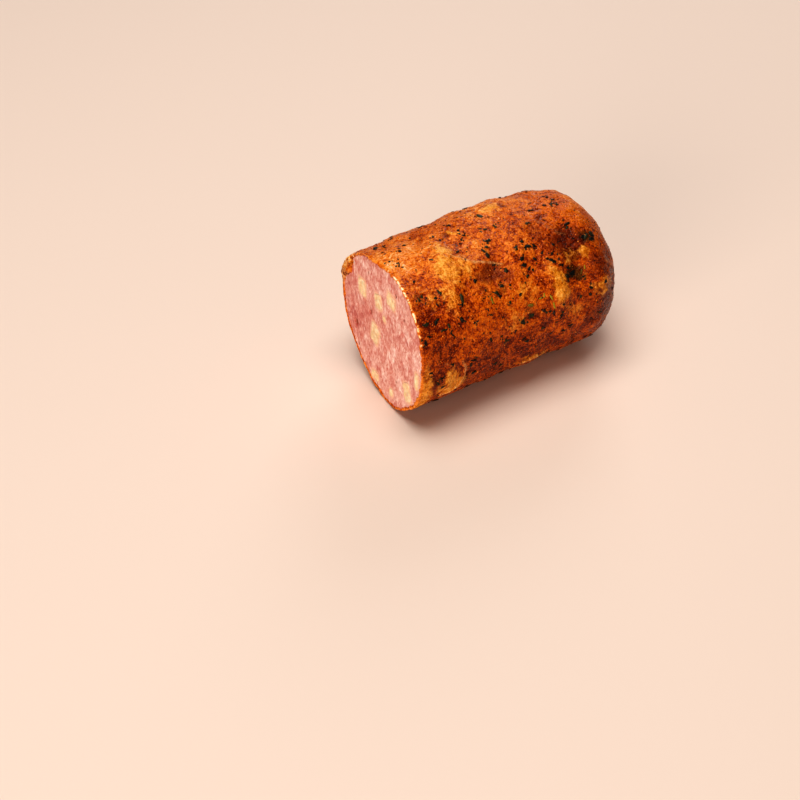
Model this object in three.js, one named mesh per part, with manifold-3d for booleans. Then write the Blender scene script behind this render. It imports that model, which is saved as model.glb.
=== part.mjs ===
// A length of grill sausage, cut across at one end: a thick roll of coarse meat in a lumpy, browned
// crust with pepper and herb flakes baked on, and cheese cubes that show in the cut face.
// Millimetres, +Z up. The axis lies along X: the cut faces -X and the rounded end +X. The roll rests
// on a narrow flat strip at z = 0, and the middle of its outline is over the origin.
// A place on the crust is x along the roll and turn in degrees round it, from the top towards -Y.
import * as THREE from "three";
import { mergeVertices } from "three/addons/utils/BufferGeometryUtils.js";
import { RoundedBoxGeometry } from "three/addons/geometries/RoundedBoxGeometry.js";
import Module from "manifold-3d";

// Driving dimensions
const bodyLength = 113; // from the cut to the rounded end, along the axis
const bodyRadius = 37;
const axisHeight = 35; // a little under the radius, because soft meat flattens where it rests
const domeLength = 27; // the stretch over which the far end rounds off
const domePower = 2.5; // 2 is a ball, and more is blunter
const boxMiddle = { x: -2.677, y: 1.204 }; // middle of the finished outline before it is centred

// The knife went through a few degrees off square, and the cut end has sagged to an oval
const cut = { lean: 0.07, yaw: 0.1, fade: 30, oval: 0.087, ovalFade: 60 };
const lobes = { size: 0.036, turn: 39, fade: 40 }; // three soft corners at the cut

// Lumps and hollows of the crust: how far they reach along and round the roll, and their height
const reliefs = [
  { x: -33, turn: 17, along: 7, round: 20, height: 1.7 }, // pale bulge near the cut
  { x: -37, turn: 50, along: 4, round: 10, height: 0.9 }, // its tail
  { x: -46, turn: 45, along: 3.5, round: 6, height: 0.9 }, // cheese cube under the crust
  { x: -42, turn: 103, along: 5, round: 13, height: 1.3 }, // lobe low on the near side
  { x: -51, turn: 112, along: 4, round: 12, height: 1.1 }, // browned cheese at the cut's edge
  { x: -15, turn: 30, along: 6, round: 4, height: 1.1 }, // fold
  { x: -16, turn: 40, along: 7, round: 6, height: -1.3 }, // hollow under the fold
  { x: 1, turn: -18, along: 17, round: 24, height: 2.5 }, // shoulder over the back
  { x: -54, turn: -72, along: 5, round: 15, height: 1.4 }, // crust turned over at the cut
  { x: 15, turn: 67, along: 4.5, round: 11, height: 1.4 }, // pale lump
  { x: 17, turn: 16, along: 10, round: 12, height: 1.2 }, // ridge above the valley
  { x: 28, turn: 40, along: 6, round: 13, height: -2.2 }, // valley
  { x: 25, turn: 62, along: 5, round: 6, height: -1.2 }, // pit full of herbs
  { x: 36, turn: 78, along: 6, round: 9, height: 1.3 }, // lump by the rounded end
  { x: 1, turn: 119, along: 6, round: 4, height: 0.9 }, // edge of crust underneath
  { x: -26, turn: -55, along: 8, round: 16, height: 1.4 }, // lumps on the far side
  { x: 21, turn: -70, along: 7, round: 13, height: 1.5 },
  { x: -3, turn: -95, along: 9, round: 12, height: -1.4 },
  { x: 37, turn: -40, along: 6, round: 14, height: -1.3 },
];
const waves = { count: 12, shortest: 9, longest: 26, steepness: 0.007, seed: 41 };
const endFolds = { count: 7, skew: 1.3, depth: 1.5, dimple: 3, dimpleRadius: 7 };

// Flakes baked on the crust: each kind's shape, and how far it stands out
const herbLeaf = { shape: THREE.OctahedronGeometry, thickness: 0.5 };
const pepperCrumb = { shape: THREE.IcosahedronGeometry, thickness: 0.6 };
// The larger herb leaves on the side that faces up and towards -Y: x, turn, length, width and
// heading in degrees, from along the roll towards the underside
const herbLeaves = [
  [-54.2, 68.5, 2.6, 1.8, 90],
  [-53, 90.2, 2.7, 1.1, 5],
  [-52.5, 57.7, 3.4, 1.3, 0],
  [-47, 58.6, 3.5, 1.5, 140],
  [-45, 99.3, 2.7, 0.8, 40],
  [-38.4, 28.5, 2.6, 0.8, 85],
  [-33, 50, 5.4, 1.7, 105],
  [-33, 94, 2.9, 0.9, 15],
  [-32.3, 106, 2.7, 1.4, 150],
  [-32, 33.5, 2.8, 0.9, 125],
  [-24, 84.2, 2.7, 1.1, 70],
  [-16.6, 113.3, 3.5, 1.3, 60],
  [-12, 29, 3, 1.8, 90],
  [-6.5, 81.2, 2.7, 2, 30],
  [-1.7, 79, 3, 2.2, 20],
  [-0.9, -7, 3.6, 1.6, 80],
  [0.3, 9, 3.4, 0.9, 90],
  [1.6, 44.5, 2.6, 1.2, 5],
  [1.8, 32, 3.1, 1.8, 140],
  [2, 40, 2.6, 1.6, 150],
  [7.5, 33.5, 3.6, 1.4, 10],
  [10.9, 34.4, 2.7, 1, 60],
  [15.6, 49, 3.6, 1.6, 50],
  [18.8, 53.7, 3, 1, 30],
  [19, 99, 2.9, 1.1, 10],
  [24, 62, 5, 1.9, 0],
  [31.5, 27.5, 2.7, 1.1, 0],
  [37, 41, 3, 2, 150],
  [39.3, 44, 3, 1.3, 0],
  [40.5, 40, 3, 1.6, 60],
];
const listedSide = { from: -30, to: 122 }; // turns that the list covers
// The rest are drawn evenly by seed: the leaves away from the listed side, the crumbs all over
const drawnFlakes = [
  { kind: herbLeaf, count: 30, length: 3.2, width: 1.3, everywhere: false },
  { kind: pepperCrumb, count: 54, length: 1.8, width: 1.4, everywhere: true },
];
const flakeSeed = 7;
const flakeSizes = { smallest: 0.75, spread: 0.5 }; // as shares of the kind's size
const flakeGap = 4.2; // between the middles of two flakes
const flakeMargin = { cut: 5, end: 14, below: 138 };
const mostAttempts = 2000;

// Cheese at the cut, as seen from the front: y, z of its middle, its width, height and depth
const cheeseCubes = [
  { y: 21.5, z: 45.5, width: 7.5, height: 8.5, depth: 7, spin: 8 },
  { y: -7.5, z: 54.5, width: 8.2, height: 7, depth: 7, spin: -6 },
  { y: 5, z: 47, width: 6.6, height: 7.4, depth: 6, spin: 12 },
  { y: -1.2, z: 41.4, width: 2.8, height: 3.2, depth: 3, spin: 20 },
  { y: 7.8, z: 28.8, width: 8, height: 10, depth: 8, spin: -14 },
  { y: 6.8, z: 7, width: 7.2, height: 4.6, depth: 6, spin: 6 },
  { y: -9.5, z: 7.6, width: 3.4, height: 4, depth: 4, spin: -10 },
  { y: -25, z: 17.2, width: 6.8, height: 9.4, depth: 7, spin: 24 },
  { y: -33.6, z: 28.6, width: 3.6, height: 8.8, depth: 6, spin: -4 },
];
const cheeseGap = 0.3; // between a cube and its pocket
const cheeseRounding = 1.4;
const blockProud = 2; // how far a block stands out of the cut before it is trimmed

const mergeDistance = 1e-4;
const ringsAlong = 30;
const ringsRoundTheEnd = 8;
const segmentsRound = 60;

const crustMaterial = new THREE.MeshStandardMaterial({ color: 0xb2551c, roughness: 0.5, metalness: 0 });
const cheeseMaterial = new THREE.MeshStandardMaterial({ color: 0xe6c184, roughness: 0.45, metalness: 0 });

const wasm = await Module();
wasm.setup();

// A repeatable draw of numbers between 0 and 1
function seededRandom(seed) {
  let state = seed;
  return () => {
    state = (state + 0x6d2b79f5) | 0;
    let mixed = Math.imul(state ^ (state >>> 15), 1 | state);
    mixed = (mixed + Math.imul(mixed ^ (mixed >>> 7), 61 | mixed)) ^ mixed;
    return ((mixed ^ (mixed >>> 14)) >>> 0) / 4294967296;
  };
}

const cutX = -bodyLength / 2;
const radians = THREE.MathUtils.degToRad;

// Long shallow waves in drawn directions make the whole crust uneven
function drawWaves() {
  const random = seededRandom(waves.seed);
  return Array.from({ length: waves.count }, () => {
    const direction = new THREE.Vector3(random() - 0.5, random() - 0.5, random() - 0.5).normalize();
    const size = waves.shortest + (waves.longest - waves.shortest) * random();
    return { direction, size, phase: 2 * Math.PI * random() };
  });
}
const crustWaves = drawWaves();

function waveHeight(point) {
  return crustWaves.reduce((height, wave) => {
    const swing = Math.sin((2 * Math.PI * wave.direction.dot(point)) / wave.size + wave.phase);
    return height + waves.steepness * wave.size * swing;
  }, 0);
}

function reliefHeight(x, turn) {
  return reliefs.reduce((height, relief) => {
    const turnAway = THREE.MathUtils.euclideanModulo(turn - relief.turn + 180, 360) - 180;
    const away = ((x - relief.x) / relief.along) ** 2 + (turnAway / relief.round) ** 2;
    return height + relief.height * Math.exp(-away / 2);
  }, 0);
}

// 1 along the roll, falling to 0 at the tip of the rounded end
function endTaper(x) {
  const into = THREE.MathUtils.clamp((x + domeLength - bodyLength / 2) / domeLength, 0, 1);
  return (1 - into ** domePower) ** (1 / domePower);
}

// How the cut end's section differs from a circle, as a share of its radius
function sectionShape(fromCut, angle) {
  const oval = cut.oval * Math.exp(-fromCut / cut.ovalFade) * Math.cos(2 * angle);
  const corners = lobes.size * Math.exp(-fromCut / lobes.fade);
  return 1 - oval + corners * Math.cos(3 * (angle - radians(lobes.turn)));
}

// Folds gather towards the tip of the rounded end, and the tip itself is drawn in
function foldHeight(angle, taper) {
  const fold = Math.cos(endFolds.count * angle + endFolds.skew * Math.sin(angle));
  return -endFolds.depth * fold * (1 - taper);
}

function tipDimple(fromCut, radius) {
  const depth = endFolds.dimple * Math.exp(-((radius / endFolds.dimpleRadius) ** 2));
  return fromCut > bodyLength / 2 ? depth : 0;
}

// A point of the body at a share of the crust's radius: 1 is the crust itself
function bodyPoint(x, turn, share) {
  const angle = radians(turn);
  const taper = endTaper(x);
  const fromCut = x - cutX;
  const outward = new THREE.Vector3(0, -Math.sin(angle), Math.cos(angle));
  const smooth = outward.clone().multiplyScalar(bodyRadius * taper).setX(x);
  const uneven = waveHeight(smooth) + reliefHeight(x, turn) + foldHeight(angle, taper);
  const round = bodyRadius * taper * sectionShape(fromCut, angle);
  const radius = share * (round + uneven * Math.sqrt(taper));
  const point = outward.multiplyScalar(radius);
  const nearCut = Math.max(1 - fromCut / cut.fade, 0);
  point.x = x + (cut.lean * point.z + cut.yaw * point.y) * nearCut - tipDimple(fromCut, radius);
  point.z = Math.max(point.z + axisHeight, 0);
  return point.sub(new THREE.Vector3(boxMiddle.x, boxMiddle.y, 0));
}

// The crust's own frame at a place: along the roll, round it and straight out
function crustFrame(x, turn) {
  const step = 0.5;
  const here = bodyPoint(x, turn, 1);
  const along = bodyPoint(x + step, turn, 1).sub(here).normalize();
  const round = bodyPoint(x, turn + step, 1).sub(here).normalize();
  const out = along.clone().cross(round).normalize().negate();
  return { here, along, out, round: out.clone().cross(along).normalize() };
}

// A closed three.js geometry as a solid for joining and cutting
function toSolid(geometry) {
  ["normal", "uv"].forEach((name) => geometry.deleteAttribute(name));
  const merged = mergeVertices(geometry, mergeDistance);
  const corners = merged.index.array;
  const kept = [];
  for (let i = 0; i < corners.length; i += 3) {
    const [a, b, c] = [corners[i], corners[i + 1], corners[i + 2]];
    if (a !== b && b !== c && c !== a) kept.push(a, b, c);
  }
  const vertProperties = new Float32Array(merged.attributes.position.array);
  const triVerts = new Uint32Array(kept);
  return new wasm.Manifold(new wasm.Mesh({ numProp: 3, vertProperties, triVerts }));
}

function toMesh(name, solid, material) {
  const { vertProperties, triVerts } = solid.getMesh();
  const geometry = new THREE.BufferGeometry();
  geometry.setAttribute("position", new THREE.BufferAttribute(new Float32Array(vertProperties), 3));
  geometry.setIndex(new THREE.BufferAttribute(new Uint32Array(triVerts), 1));
  geometry.computeVertexNormals();
  const mesh = new THREE.Mesh(geometry, material);
  mesh.name = name;
  return mesh;
}

// The roll: a lathed profile from the middle of the cut to the tip, its points moved onto the crust
function makeRoll() {
  const profile = [new THREE.Vector2(0, cutX)];
  const straight = bodyLength - domeLength;
  for (let i = 0; i <= ringsAlong; i += 1) {
    profile.push(new THREE.Vector2(bodyRadius, cutX + (straight * i) / ringsAlong));
  }
  for (let i = 1; i < ringsRoundTheEnd; i += 1) {
    const bend = (Math.PI / 2) * (i / ringsRoundTheEnd);
    const x = bodyLength / 2 - domeLength * (1 - Math.sin(bend) ** (2 / domePower));
    profile.push(new THREE.Vector2(bodyRadius * Math.cos(bend) ** (2 / domePower), x));
  }
  profile.push(new THREE.Vector2(0, bodyLength / 2));
  const geometry = new THREE.LatheGeometry(profile, segmentsRound);
  const position = geometry.attributes.position;
  for (let i = 0; i < position.count; i += 1) {
    const [across, x, up] = [position.getX(i), position.getY(i), position.getZ(i)];
    const turn = THREE.MathUtils.radToDeg(Math.atan2(across, up));
    const share = Math.hypot(across, up) > 1e-3 ? 1 : 0;
    const point = bodyPoint(x, turn, share);
    position.setXYZ(i, point.x, point.y, point.z);
  }
  return toSolid(geometry);
}

// One flake: a small faceted chip laid on the crust, half of it sunk in
function makeFlake(kind, x, turn, length, width, heading) {
  const { here, along, out, round } = crustFrame(x, turn);
  const chip = new kind.shape(0.5, 0);
  chip.scale(length, width, 2 * kind.thickness);
  chip.rotateZ(-radians(heading));
  chip.applyMatrix4(new THREE.Matrix4().makeBasis(along, round, out).setPosition(here));
  return toSolid(chip);
}

function canTakeFlake(x, turn, everywhere) {
  if (x < cutX + flakeMargin.cut || x > bodyLength / 2 - flakeMargin.end) return false;
  if (Math.abs(turn) > flakeMargin.below) return false;
  return everywhere || turn < listedSide.from || turn > listedSide.to;
}

// The listed leaves, then the drawn flakes wherever they keep their gap from all the others
function makeFlakes() {
  const random = seededRandom(flakeSeed);
  const placed = herbLeaves.map(([x, turn]) => bodyPoint(x, turn, 1));
  const flakes = herbLeaves.map((leaf) => makeFlake(herbLeaf, ...leaf));
  for (const { kind, count, length, width, everywhere } of drawnFlakes) {
    let wanted = count;
    for (let attempt = 0; attempt < mostAttempts && wanted > 0; attempt += 1) {
      const x = bodyLength * (random() - 0.5);
      const turn = 360 * random() - 180;
      const at = bodyPoint(x, turn, 1);
      if (!canTakeFlake(x, turn, everywhere)) continue;
      if (placed.some((other) => other.distanceTo(at) < flakeGap)) continue;
      const size = flakeSizes.smallest + flakeSizes.spread * random();
      placed.push(at);
      flakes.push(makeFlake(kind, x, turn, length * size, width * size, 180 * random()));
      wanted -= 1;
    }
  }
  return flakes;
}

// The face of the cut: a frame at y, z on it, with its axes across, up and straight out of the face
const cutOut = new THREE.Vector3(-1, cut.yaw, cut.lean).normalize();
const cutAcross = new THREE.Vector3(cut.yaw, 1, 0).normalize();
const cutUp = cutOut.clone().cross(cutAcross);

function frameOnCut(y, z) {
  const x = cutX + cut.lean * (z - axisHeight) + cut.yaw * y;
  const frame = new THREE.Matrix4().makeBasis(cutAcross, cutUp, cutOut);
  return frame.setPosition(x - boxMiddle.x, y - boxMiddle.y, z);
}

// A block let into the cut face and standing out of it; margin widens it for its pocket
function makeBlock(cube, margin) {
  const width = cube.width + 2 * margin;
  const height = cube.height + 2 * margin;
  const depth = cube.depth + margin + blockProud;
  const block = new RoundedBoxGeometry(width, height, depth, 1, cheeseRounding + margin);
  block.rotateZ(radians(cube.spin));
  block.translate(0, 0, blockProud - depth / 2);
  block.applyMatrix4(frameOnCut(cube.y, cube.z));
  return toSolid(block);
}

// Everything on the meat's side of the cut plane
function makeMeatSide() {
  const reach = 4 * bodyRadius;
  const slab = new THREE.BoxGeometry(reach, reach, reach);
  slab.translate(0, 0, -reach / 2);
  slab.applyMatrix4(frameOnCut(0, axisHeight));
  return toSolid(slab);
}

const meatSide = makeMeatSide();
const pockets = cheeseCubes.map((cube) => makeBlock(cube, cheeseGap));
const crusted = wasm.Manifold.union([makeRoll(), ...makeFlakes()]);
const sausage = crusted.subtract(wasm.Manifold.union(pockets));

const group = new THREE.Group();
group.add(toMesh("sausage", sausage, crustMaterial));
cheeseCubes.forEach((cube, i) => {
  const cheese = makeBlock(cube, 0).intersect(meatSide);
  group.add(toMesh(`cheese_cube_${i + 1}`, cheese, cheeseMaterial));
});

export default group;
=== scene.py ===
import math

import bmesh
import bpy
import numpy as np
from mathutils import Matrix, Vector, noise
from mathutils.bvhtree import BVHTree


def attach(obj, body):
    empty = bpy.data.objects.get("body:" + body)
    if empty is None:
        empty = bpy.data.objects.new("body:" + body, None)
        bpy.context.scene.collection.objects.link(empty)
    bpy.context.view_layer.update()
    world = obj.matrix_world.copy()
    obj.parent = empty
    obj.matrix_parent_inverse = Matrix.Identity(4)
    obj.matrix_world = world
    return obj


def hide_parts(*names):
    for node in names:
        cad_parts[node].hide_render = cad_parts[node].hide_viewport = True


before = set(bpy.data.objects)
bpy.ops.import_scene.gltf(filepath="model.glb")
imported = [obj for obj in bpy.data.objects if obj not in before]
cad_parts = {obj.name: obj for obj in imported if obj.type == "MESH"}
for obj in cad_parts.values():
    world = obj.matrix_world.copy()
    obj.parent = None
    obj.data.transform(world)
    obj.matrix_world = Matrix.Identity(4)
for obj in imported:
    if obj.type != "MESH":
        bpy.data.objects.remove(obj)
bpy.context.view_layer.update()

scene = bpy.context.scene
millimetre = 0.001
noise.seed_set(3)  # without it the noise changes from run to run

# The camera stands where the photograph was taken from, and the middle of its view meets the floor
# at lookAt. Places are in metres, angles in degrees, lens and sensor in millimetres, and azimuth 0
# looks along +Y.
camera = {
    "lookAt": (-0.0511, -0.0088, 0.0),
    "distance": 1.0448,
    "azimuth": -30.18,
    "elevation": 36.52,
    "roll": -2.89,
    "lens": 104.05,
    "sensor": 36,
}


def addCamera():
    azimuth = math.radians(camera["azimuth"])
    elevation = math.radians(camera["elevation"])
    back = Vector((math.sin(azimuth) * math.cos(elevation),
                   -math.cos(azimuth) * math.cos(elevation),
                   math.sin(elevation)))
    eye = bpy.data.objects.new("eye", bpy.data.cameras.new("eye"))
    eye.data.lens = camera["lens"]
    eye.data.sensor_width = camera["sensor"]
    turned = back.to_track_quat("Z", "Y").to_matrix() @ Matrix.Rotation(math.radians(camera["roll"]), 3, "Z")
    place = Matrix.Translation(Vector(camera["lookAt"]) + back * camera["distance"])
    eye.matrix_world = place @ turned.to_4x4()
    scene.collection.objects.link(eye)
    scene.camera = eye


addCamera()
print("camera placed")

# The roll's own rule of form, in millimetres, the same as the solid's. A place on the crust is x
# along the roll and turn in degrees round it, from the top towards -Y.
roll = {
    "length": 113,
    "radius": 37,
    "axisHeight": 35,
    "domeLength": 27,
    "domePower": 2.5,
    "middle": (-2.677, 1.204),
}
# how much the cut leans and turns for each millimetre, and how oval and how three-cornered the roll is
# beside it (shares of the radius), all fading along the roll
cut = {"lean": 0.07, "yaw": 0.1, "fade": 30, "oval": 0.087, "ovalFade": 60}
lobes = {"count": 3, "size": 0.036, "turn": 39, "fade": 40}
# low waves over the whole crust, and the folds that gather at its rounded end with a dimple among them
waves = {"count": 12, "shortest": 9, "longest": 26, "steepness": 0.007, "seed": 41}
endFolds = {"count": 7, "skew": 1.3, "depth": 1.5, "dimple": 3, "dimpleRadius": 7}
reliefs = [
    # x, turn, reach along, reach round in degrees, height
    (-33, 17, 7, 20, 1.7),  # pale bulge near the cut
    (-37, 50, 4, 10, 0.9),  # its tail
    (-46, 45, 3.5, 6, 0.9),  # cheese cube under the crust
    (-42, 103, 5, 13, 1.3),  # lobe low on the near side
    (-51, 112, 4, 12, 1.1),  # browned cheese at the cut's edge
    (-15, 30, 6, 4, 1.1),  # fold
    (-16, 40, 7, 6, -1.3),  # hollow under the fold
    (1, -18, 17, 24, 2.5),  # shoulder over the back
    (-54, -72, 5, 15, 1.4),  # crust turned over at the cut
    (15, 67, 4.5, 11, 1.4),  # pale lump
    (17, 16, 10, 12, 1.2),  # ridge above the valley
    (28, 40, 6, 13, -2.2),  # valley
    (25, 62, 5, 6, -1.2),  # pit full of herbs
    (36, 78, 6, 9, 1.3),  # lump by the rounded end
    (1, 119, 6, 4, 0.9),  # edge of crust underneath
    (-26, -55, 8, 16, 1.4),  # lumps on the far side
    (21, -70, 7, 13, 1.5),
    (-3, -95, 9, 12, -1.4),
    (37, -40, 6, 14, -1.3),
]
cutX = -roll["length"] / 2
perDegree = roll["radius"] * math.pi / 180  # millimetres round the roll for one degree


def seededRandom(seed):
    # the solid's own generator of random numbers, so that its waves and its flakes are drawn the same
    state = seed & 0xFFFFFFFF

    def draw():
        nonlocal state
        state = (state + 0x6D2B79F5) & 0xFFFFFFFF
        mixed = ((state ^ (state >> 15)) * (1 | state)) & 0xFFFFFFFF
        mixed = ((mixed + (((mixed ^ (mixed >> 7)) * (61 | mixed)) & 0xFFFFFFFF)) & 0xFFFFFFFF) ^ mixed
        return ((mixed ^ (mixed >> 14)) & 0xFFFFFFFF) / 4294967296

    return draw


def drawWaves():
    # each wave's direction, size and phase
    draw = seededRandom(waves["seed"])
    drawn = []
    for _ in range(waves["count"]):
        direction = Vector((draw() - 0.5, draw() - 0.5, draw() - 0.5)).normalized()
        size = waves["shortest"] + (waves["longest"] - waves["shortest"]) * draw()
        drawn.append((np.array(direction), size, 2 * math.pi * draw()))
    return drawn


crustWaves = drawWaves()


def wrapTurn(turn):
    # the same turn between -180 and 180
    return (turn + 180) % 360 - 180


def awayFrom(x, turn, place):
    # how far from a place on the crust, measured in that place's own reaches and squared
    return ((x - place[0]) / place[2]) ** 2 + (wrapTurn(turn - place[1]) / place[3]) ** 2


def hill(x, turn, place):
    # a soft rise at the place, as much as its last value says
    return place[4] * np.exp(-awayFrom(x, turn, place) / 2)


# Thin ridges and grooves of the crust: a path of (x, turn), half its width, its height, and how pale it is
# painted, paler crust with a painted highlight on the ridge (or, below zero, how dark: painted shade in the
# groove)
creases = [
    ([(-28, 20), (-24.8, 24.5), (-21, 30), (-16, 32.5), (-11, 35), (-7.5, 38.5)], 0.8, 0.9, 0.8),
    ([(-38, 91), (-36.6, 97), (-36.8, 104), (-39, 111), (-43, 116), (-47, 117)], 0.8, 0.6, 0.75),
    ([(-49, 86), (-45, 88.5), (-42, 93)], 0.8, 0.35, 0.35),
    ([(18, 18), (21, 25), (24.5, 31), (28, 34)], 1.0, 0.8, 0.5),
    ([(-50, 37), (-46, 37), (-42.5, 40), (-41.8, 46)], 0.6, 0.35, 0.3),
    ([(41, 60), (45, 66), (48, 73)], 1.0, 0.8, 0.4),
    ([(39, 82), (44, 92), (47, 103)], 0.9, 0.8, 0.45),
    ([(-6, 121), (-3, 118), (2, 117), (8, 119.5)], 0.8, 0.8, 0.75),
    ([(2, -14), (8, -12), (14, -17)], 1.4, 0.5, 0.3),
    ([(-47.6, 73), (-47.2, 79), (-48.2, 85)], 0.6, -0.6, -0.9),
    ([(-36, 108), (-34.6, 102)], 0.6, -0.5, -0.9),
    ([(-51, 95), (-49.5, 102), (-50.5, 110)], 0.7, -0.5, -0.8),
    ([(40, 62), (46, 69), (50, 80)], 0.8, -0.6, -0.7),
    ([(28, 99), (33, 104)], 1.0, -0.6, -0.9),
]


def creaseShares(x, turn):
    # for each crease, 1 on its path, falling to 0 beside it
    places = np.stack([x, wrapTurn(turn) * perDegree], -1)
    shares = []
    for path, halfWidth, _, _ in creases:
        nearest = np.full(len(places), np.inf)
        corners = [np.array((along, round_ * perDegree)) for along, round_ in path]
        for start, end in zip(corners, corners[1:]):
            step = end - start
            part = np.clip((places - start) @ step / (step @ step), 0, 1)
            nearest = np.minimum(nearest, np.linalg.norm(places - start - part[:, None] * step, axis=1))
        shares.append(np.exp(-(nearest / halfWidth) ** 2))
    return shares


# What the heat made of the skin, finer than the solid has: lumps, wrinkles and grains (mm)
skin = {
    "lumpSize": 7,
    "lumpHeight": 0.32,
    "wrinkleSize": 3.8,
    "wrinkleHeight": 0.36,
    "wrinkleCrest": 0.45,  # in wrinkle heights, and how steeply it falls from there
    "wrinkleFall": 1.6,
    "bendSize": 5,  # what bends the wrinkles, and how much
    "bend": 0.5,
    "grainSize": 1.6,
    "grainHeight": 0.18,
    "endLumps": 1.6,  # how much lumpier the rounded end is, from this x and over this length
    "endFrom": 25,
    "endOver": 20,
    "goldRise": 0.4,
    "heightShading": 0.28,  # painted light and shade: how much lighter each millimetre of height is painted, so hollows are darker
}


def skinHeights(points):
    heights = np.empty(len(points))
    for i, place in enumerate(points.tolist()):
        point = Vector(place)
        bent = point / skin["wrinkleSize"] + skin["bend"] * noise.noise_vector(point / skin["bendSize"])
        ending = min(max((point.x - skin["endFrom"]) / skin["endOver"], 0), 1)
        heights[i] = (
            skin["lumpHeight"] * (1 + skin["endLumps"] * ending) * noise.noise(point / skin["lumpSize"])
            + skin["wrinkleHeight"] * (skin["wrinkleCrest"] - skin["wrinkleFall"] * abs(noise.noise(bent)))
            + skin["grainHeight"] * noise.noise(point / skin["grainSize"])
        )
    return heights


def endTaper(x):
    # 1 along the roll, falling to 0 at the tip of the rounded end
    into = np.clip((x + roll["domeLength"] - roll["length"] / 2) / roll["domeLength"], 0, 1)
    return np.maximum(1 - into ** roll["domePower"], 0) ** (1 / roll["domePower"])


def smoothPlaces(x, turn):
    # places on the plain roll, before anything makes it uneven
    angle = np.radians(turn)
    radius = roll["radius"] * endTaper(x)
    return np.stack([x, -np.sin(angle) * radius, np.cos(angle) * radius], -1)


def crustPoints(x, turn, share, fine=None, creased=True):
    # the crust's points in metres; share is 1 on the crust and 0 on the axis, fine is the skin's height
    angle = np.radians(turn)
    taper = endTaper(x)
    fromCut = x - cutX
    outward = np.stack([np.zeros_like(x), -np.sin(angle), np.cos(angle)], -1)
    smooth = smoothPlaces(x, turn)
    uneven = (skinHeights(smooth) if fine is None else fine).copy()
    for direction, size, phase in crustWaves:
        uneven += waves["steepness"] * size * np.sin(2 * math.pi * (smooth @ direction) / size + phase)
    for relief in reliefs:
        uneven += hill(x, turn, relief)
    if creased:
        for (_, _, height, _), near in zip(creases, creaseShares(x, turn)):
            uneven += height * near
    gathers = np.cos(endFolds["count"] * angle + endFolds["skew"] * np.sin(angle))
    uneven -= endFolds["depth"] * gathers * (1 - taper)
    oval = cut["oval"] * np.exp(-fromCut / cut["ovalFade"]) * np.cos(2 * angle)
    lobed = np.cos(lobes["count"] * (angle - math.radians(lobes["turn"])))
    corners = lobes["size"] * np.exp(-fromCut / lobes["fade"]) * lobed
    round_ = roll["radius"] * taper * (1 - oval + corners)
    radius = share * (round_ + uneven * np.sqrt(taper))
    points = outward * radius[:, None]
    nearCut = np.maximum(1 - fromCut / cut["fade"], 0)
    dimple = endFolds["dimple"] * np.exp(-(radius / endFolds["dimpleRadius"]) ** 2) * (x > 0)
    points[:, 0] = x + (cut["lean"] * points[:, 2] + cut["yaw"] * points[:, 1]) * nearCut - dimple
    points[:, 2] = np.maximum(points[:, 2] + roll["axisHeight"], 0)
    points[:, 0] -= roll["middle"][0]
    points[:, 1] -= roll["middle"][1]
    return points * millimetre


# The plane of the cut: straight out of it, and across and up on it
cutOut = Vector((-1, cut["yaw"], cut["lean"])).normalized()
cutAcross = Vector((cut["yaw"], 1, 0)).normalized()
cutUp = cutOut.cross(cutAcross)
cutMiddle = Vector((cutX - roll["middle"][0], -roll["middle"][1], roll["axisHeight"])) * millimetre


def linear(hexColour):
    # the linear colour of an sRGB hex value
    channels = [int(hexColour[i:i + 2], 16) / 255 for i in (1, 3, 5)]
    return tuple(c / 12.92 if c <= 0.04045 else ((c + 0.055) / 1.055) ** 2.4 for c in channels) + (1,)


def addNode(material, kind, inputs=None, stops=None, **settings):
    # adds one node: its settings, its inputs (values or sockets to link) and a ramp's stops
    tree = material.node_tree
    node = tree.nodes.new("ShaderNode" + kind)
    for name, value in settings.items():
        setattr(node, name, value)
    for name, value in (inputs or {}).items():
        if isinstance(value, bpy.types.NodeSocket):
            tree.links.new(value, node.inputs[name])
        else:
            node.inputs[name].default_value = value
    for i, (place, hexColour) in enumerate(stops or []):
        stop = node.color_ramp.elements[i] if i < 2 else node.color_ramp.elements.new(place)
        stop.position = place
        stop.color = linear(hexColour)
    return node


def newMaterial(name):
    material = bpy.data.materials.new(name)
    material.use_nodes = True
    return material, material.node_tree.nodes["Principled BSDF"]


def perMetre(size):
    # a pattern's scale from the size in millimetres of what repeats in it
    return 1 / (size * millimetre)


noiseRange = (0.3, 0.7)  # nearly all values of a noise pattern lie between these


def addPiece(name, shell, material, nodes, values):
    # a finished piece from a bmesh in metres, the nodes of the solids that it takes the place of, and
    # values kept at each of its points
    mesh = bpy.data.meshes.new(name)
    shell.to_mesh(mesh)
    shell.free()
    for label, numbers in values.items():
        mesh.attributes.new(label, "FLOAT", "POINT").data.foreach_set("value", numbers.astype(np.float32))
    mesh.shade_smooth()
    mesh.materials.append(material)
    piece = bpy.data.objects.new(name, mesh)
    scene.collection.objects.link(piece)
    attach(piece, "root")
    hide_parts(*nodes)
    print(name, "has", sum(len(face.vertices) - 2 for face in mesh.polygons), "triangles")


def spinProfile(profile, steps):
    # a closed shell: (x, radius) corners, the first and last on the X axis, turned once round it
    shell = bmesh.new()
    corners = [shell.verts.new((x, 0, radius)) for x, radius in profile]
    edges = [shell.edges.new(pair) for pair in zip(corners, corners[1:])]
    bmesh.ops.spin(shell, geom=corners + edges, cent=(0, 0, 0), axis=(1, 0, 0), dvec=(0, 0, 0),
                   angle=2 * math.pi, steps=steps, use_merge=True)
    bmesh.ops.remove_doubles(shell, verts=shell.verts[:], dist=1e-4)
    bmesh.ops.recalc_face_normals(shell, faces=shell.faces[:])
    return shell


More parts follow.
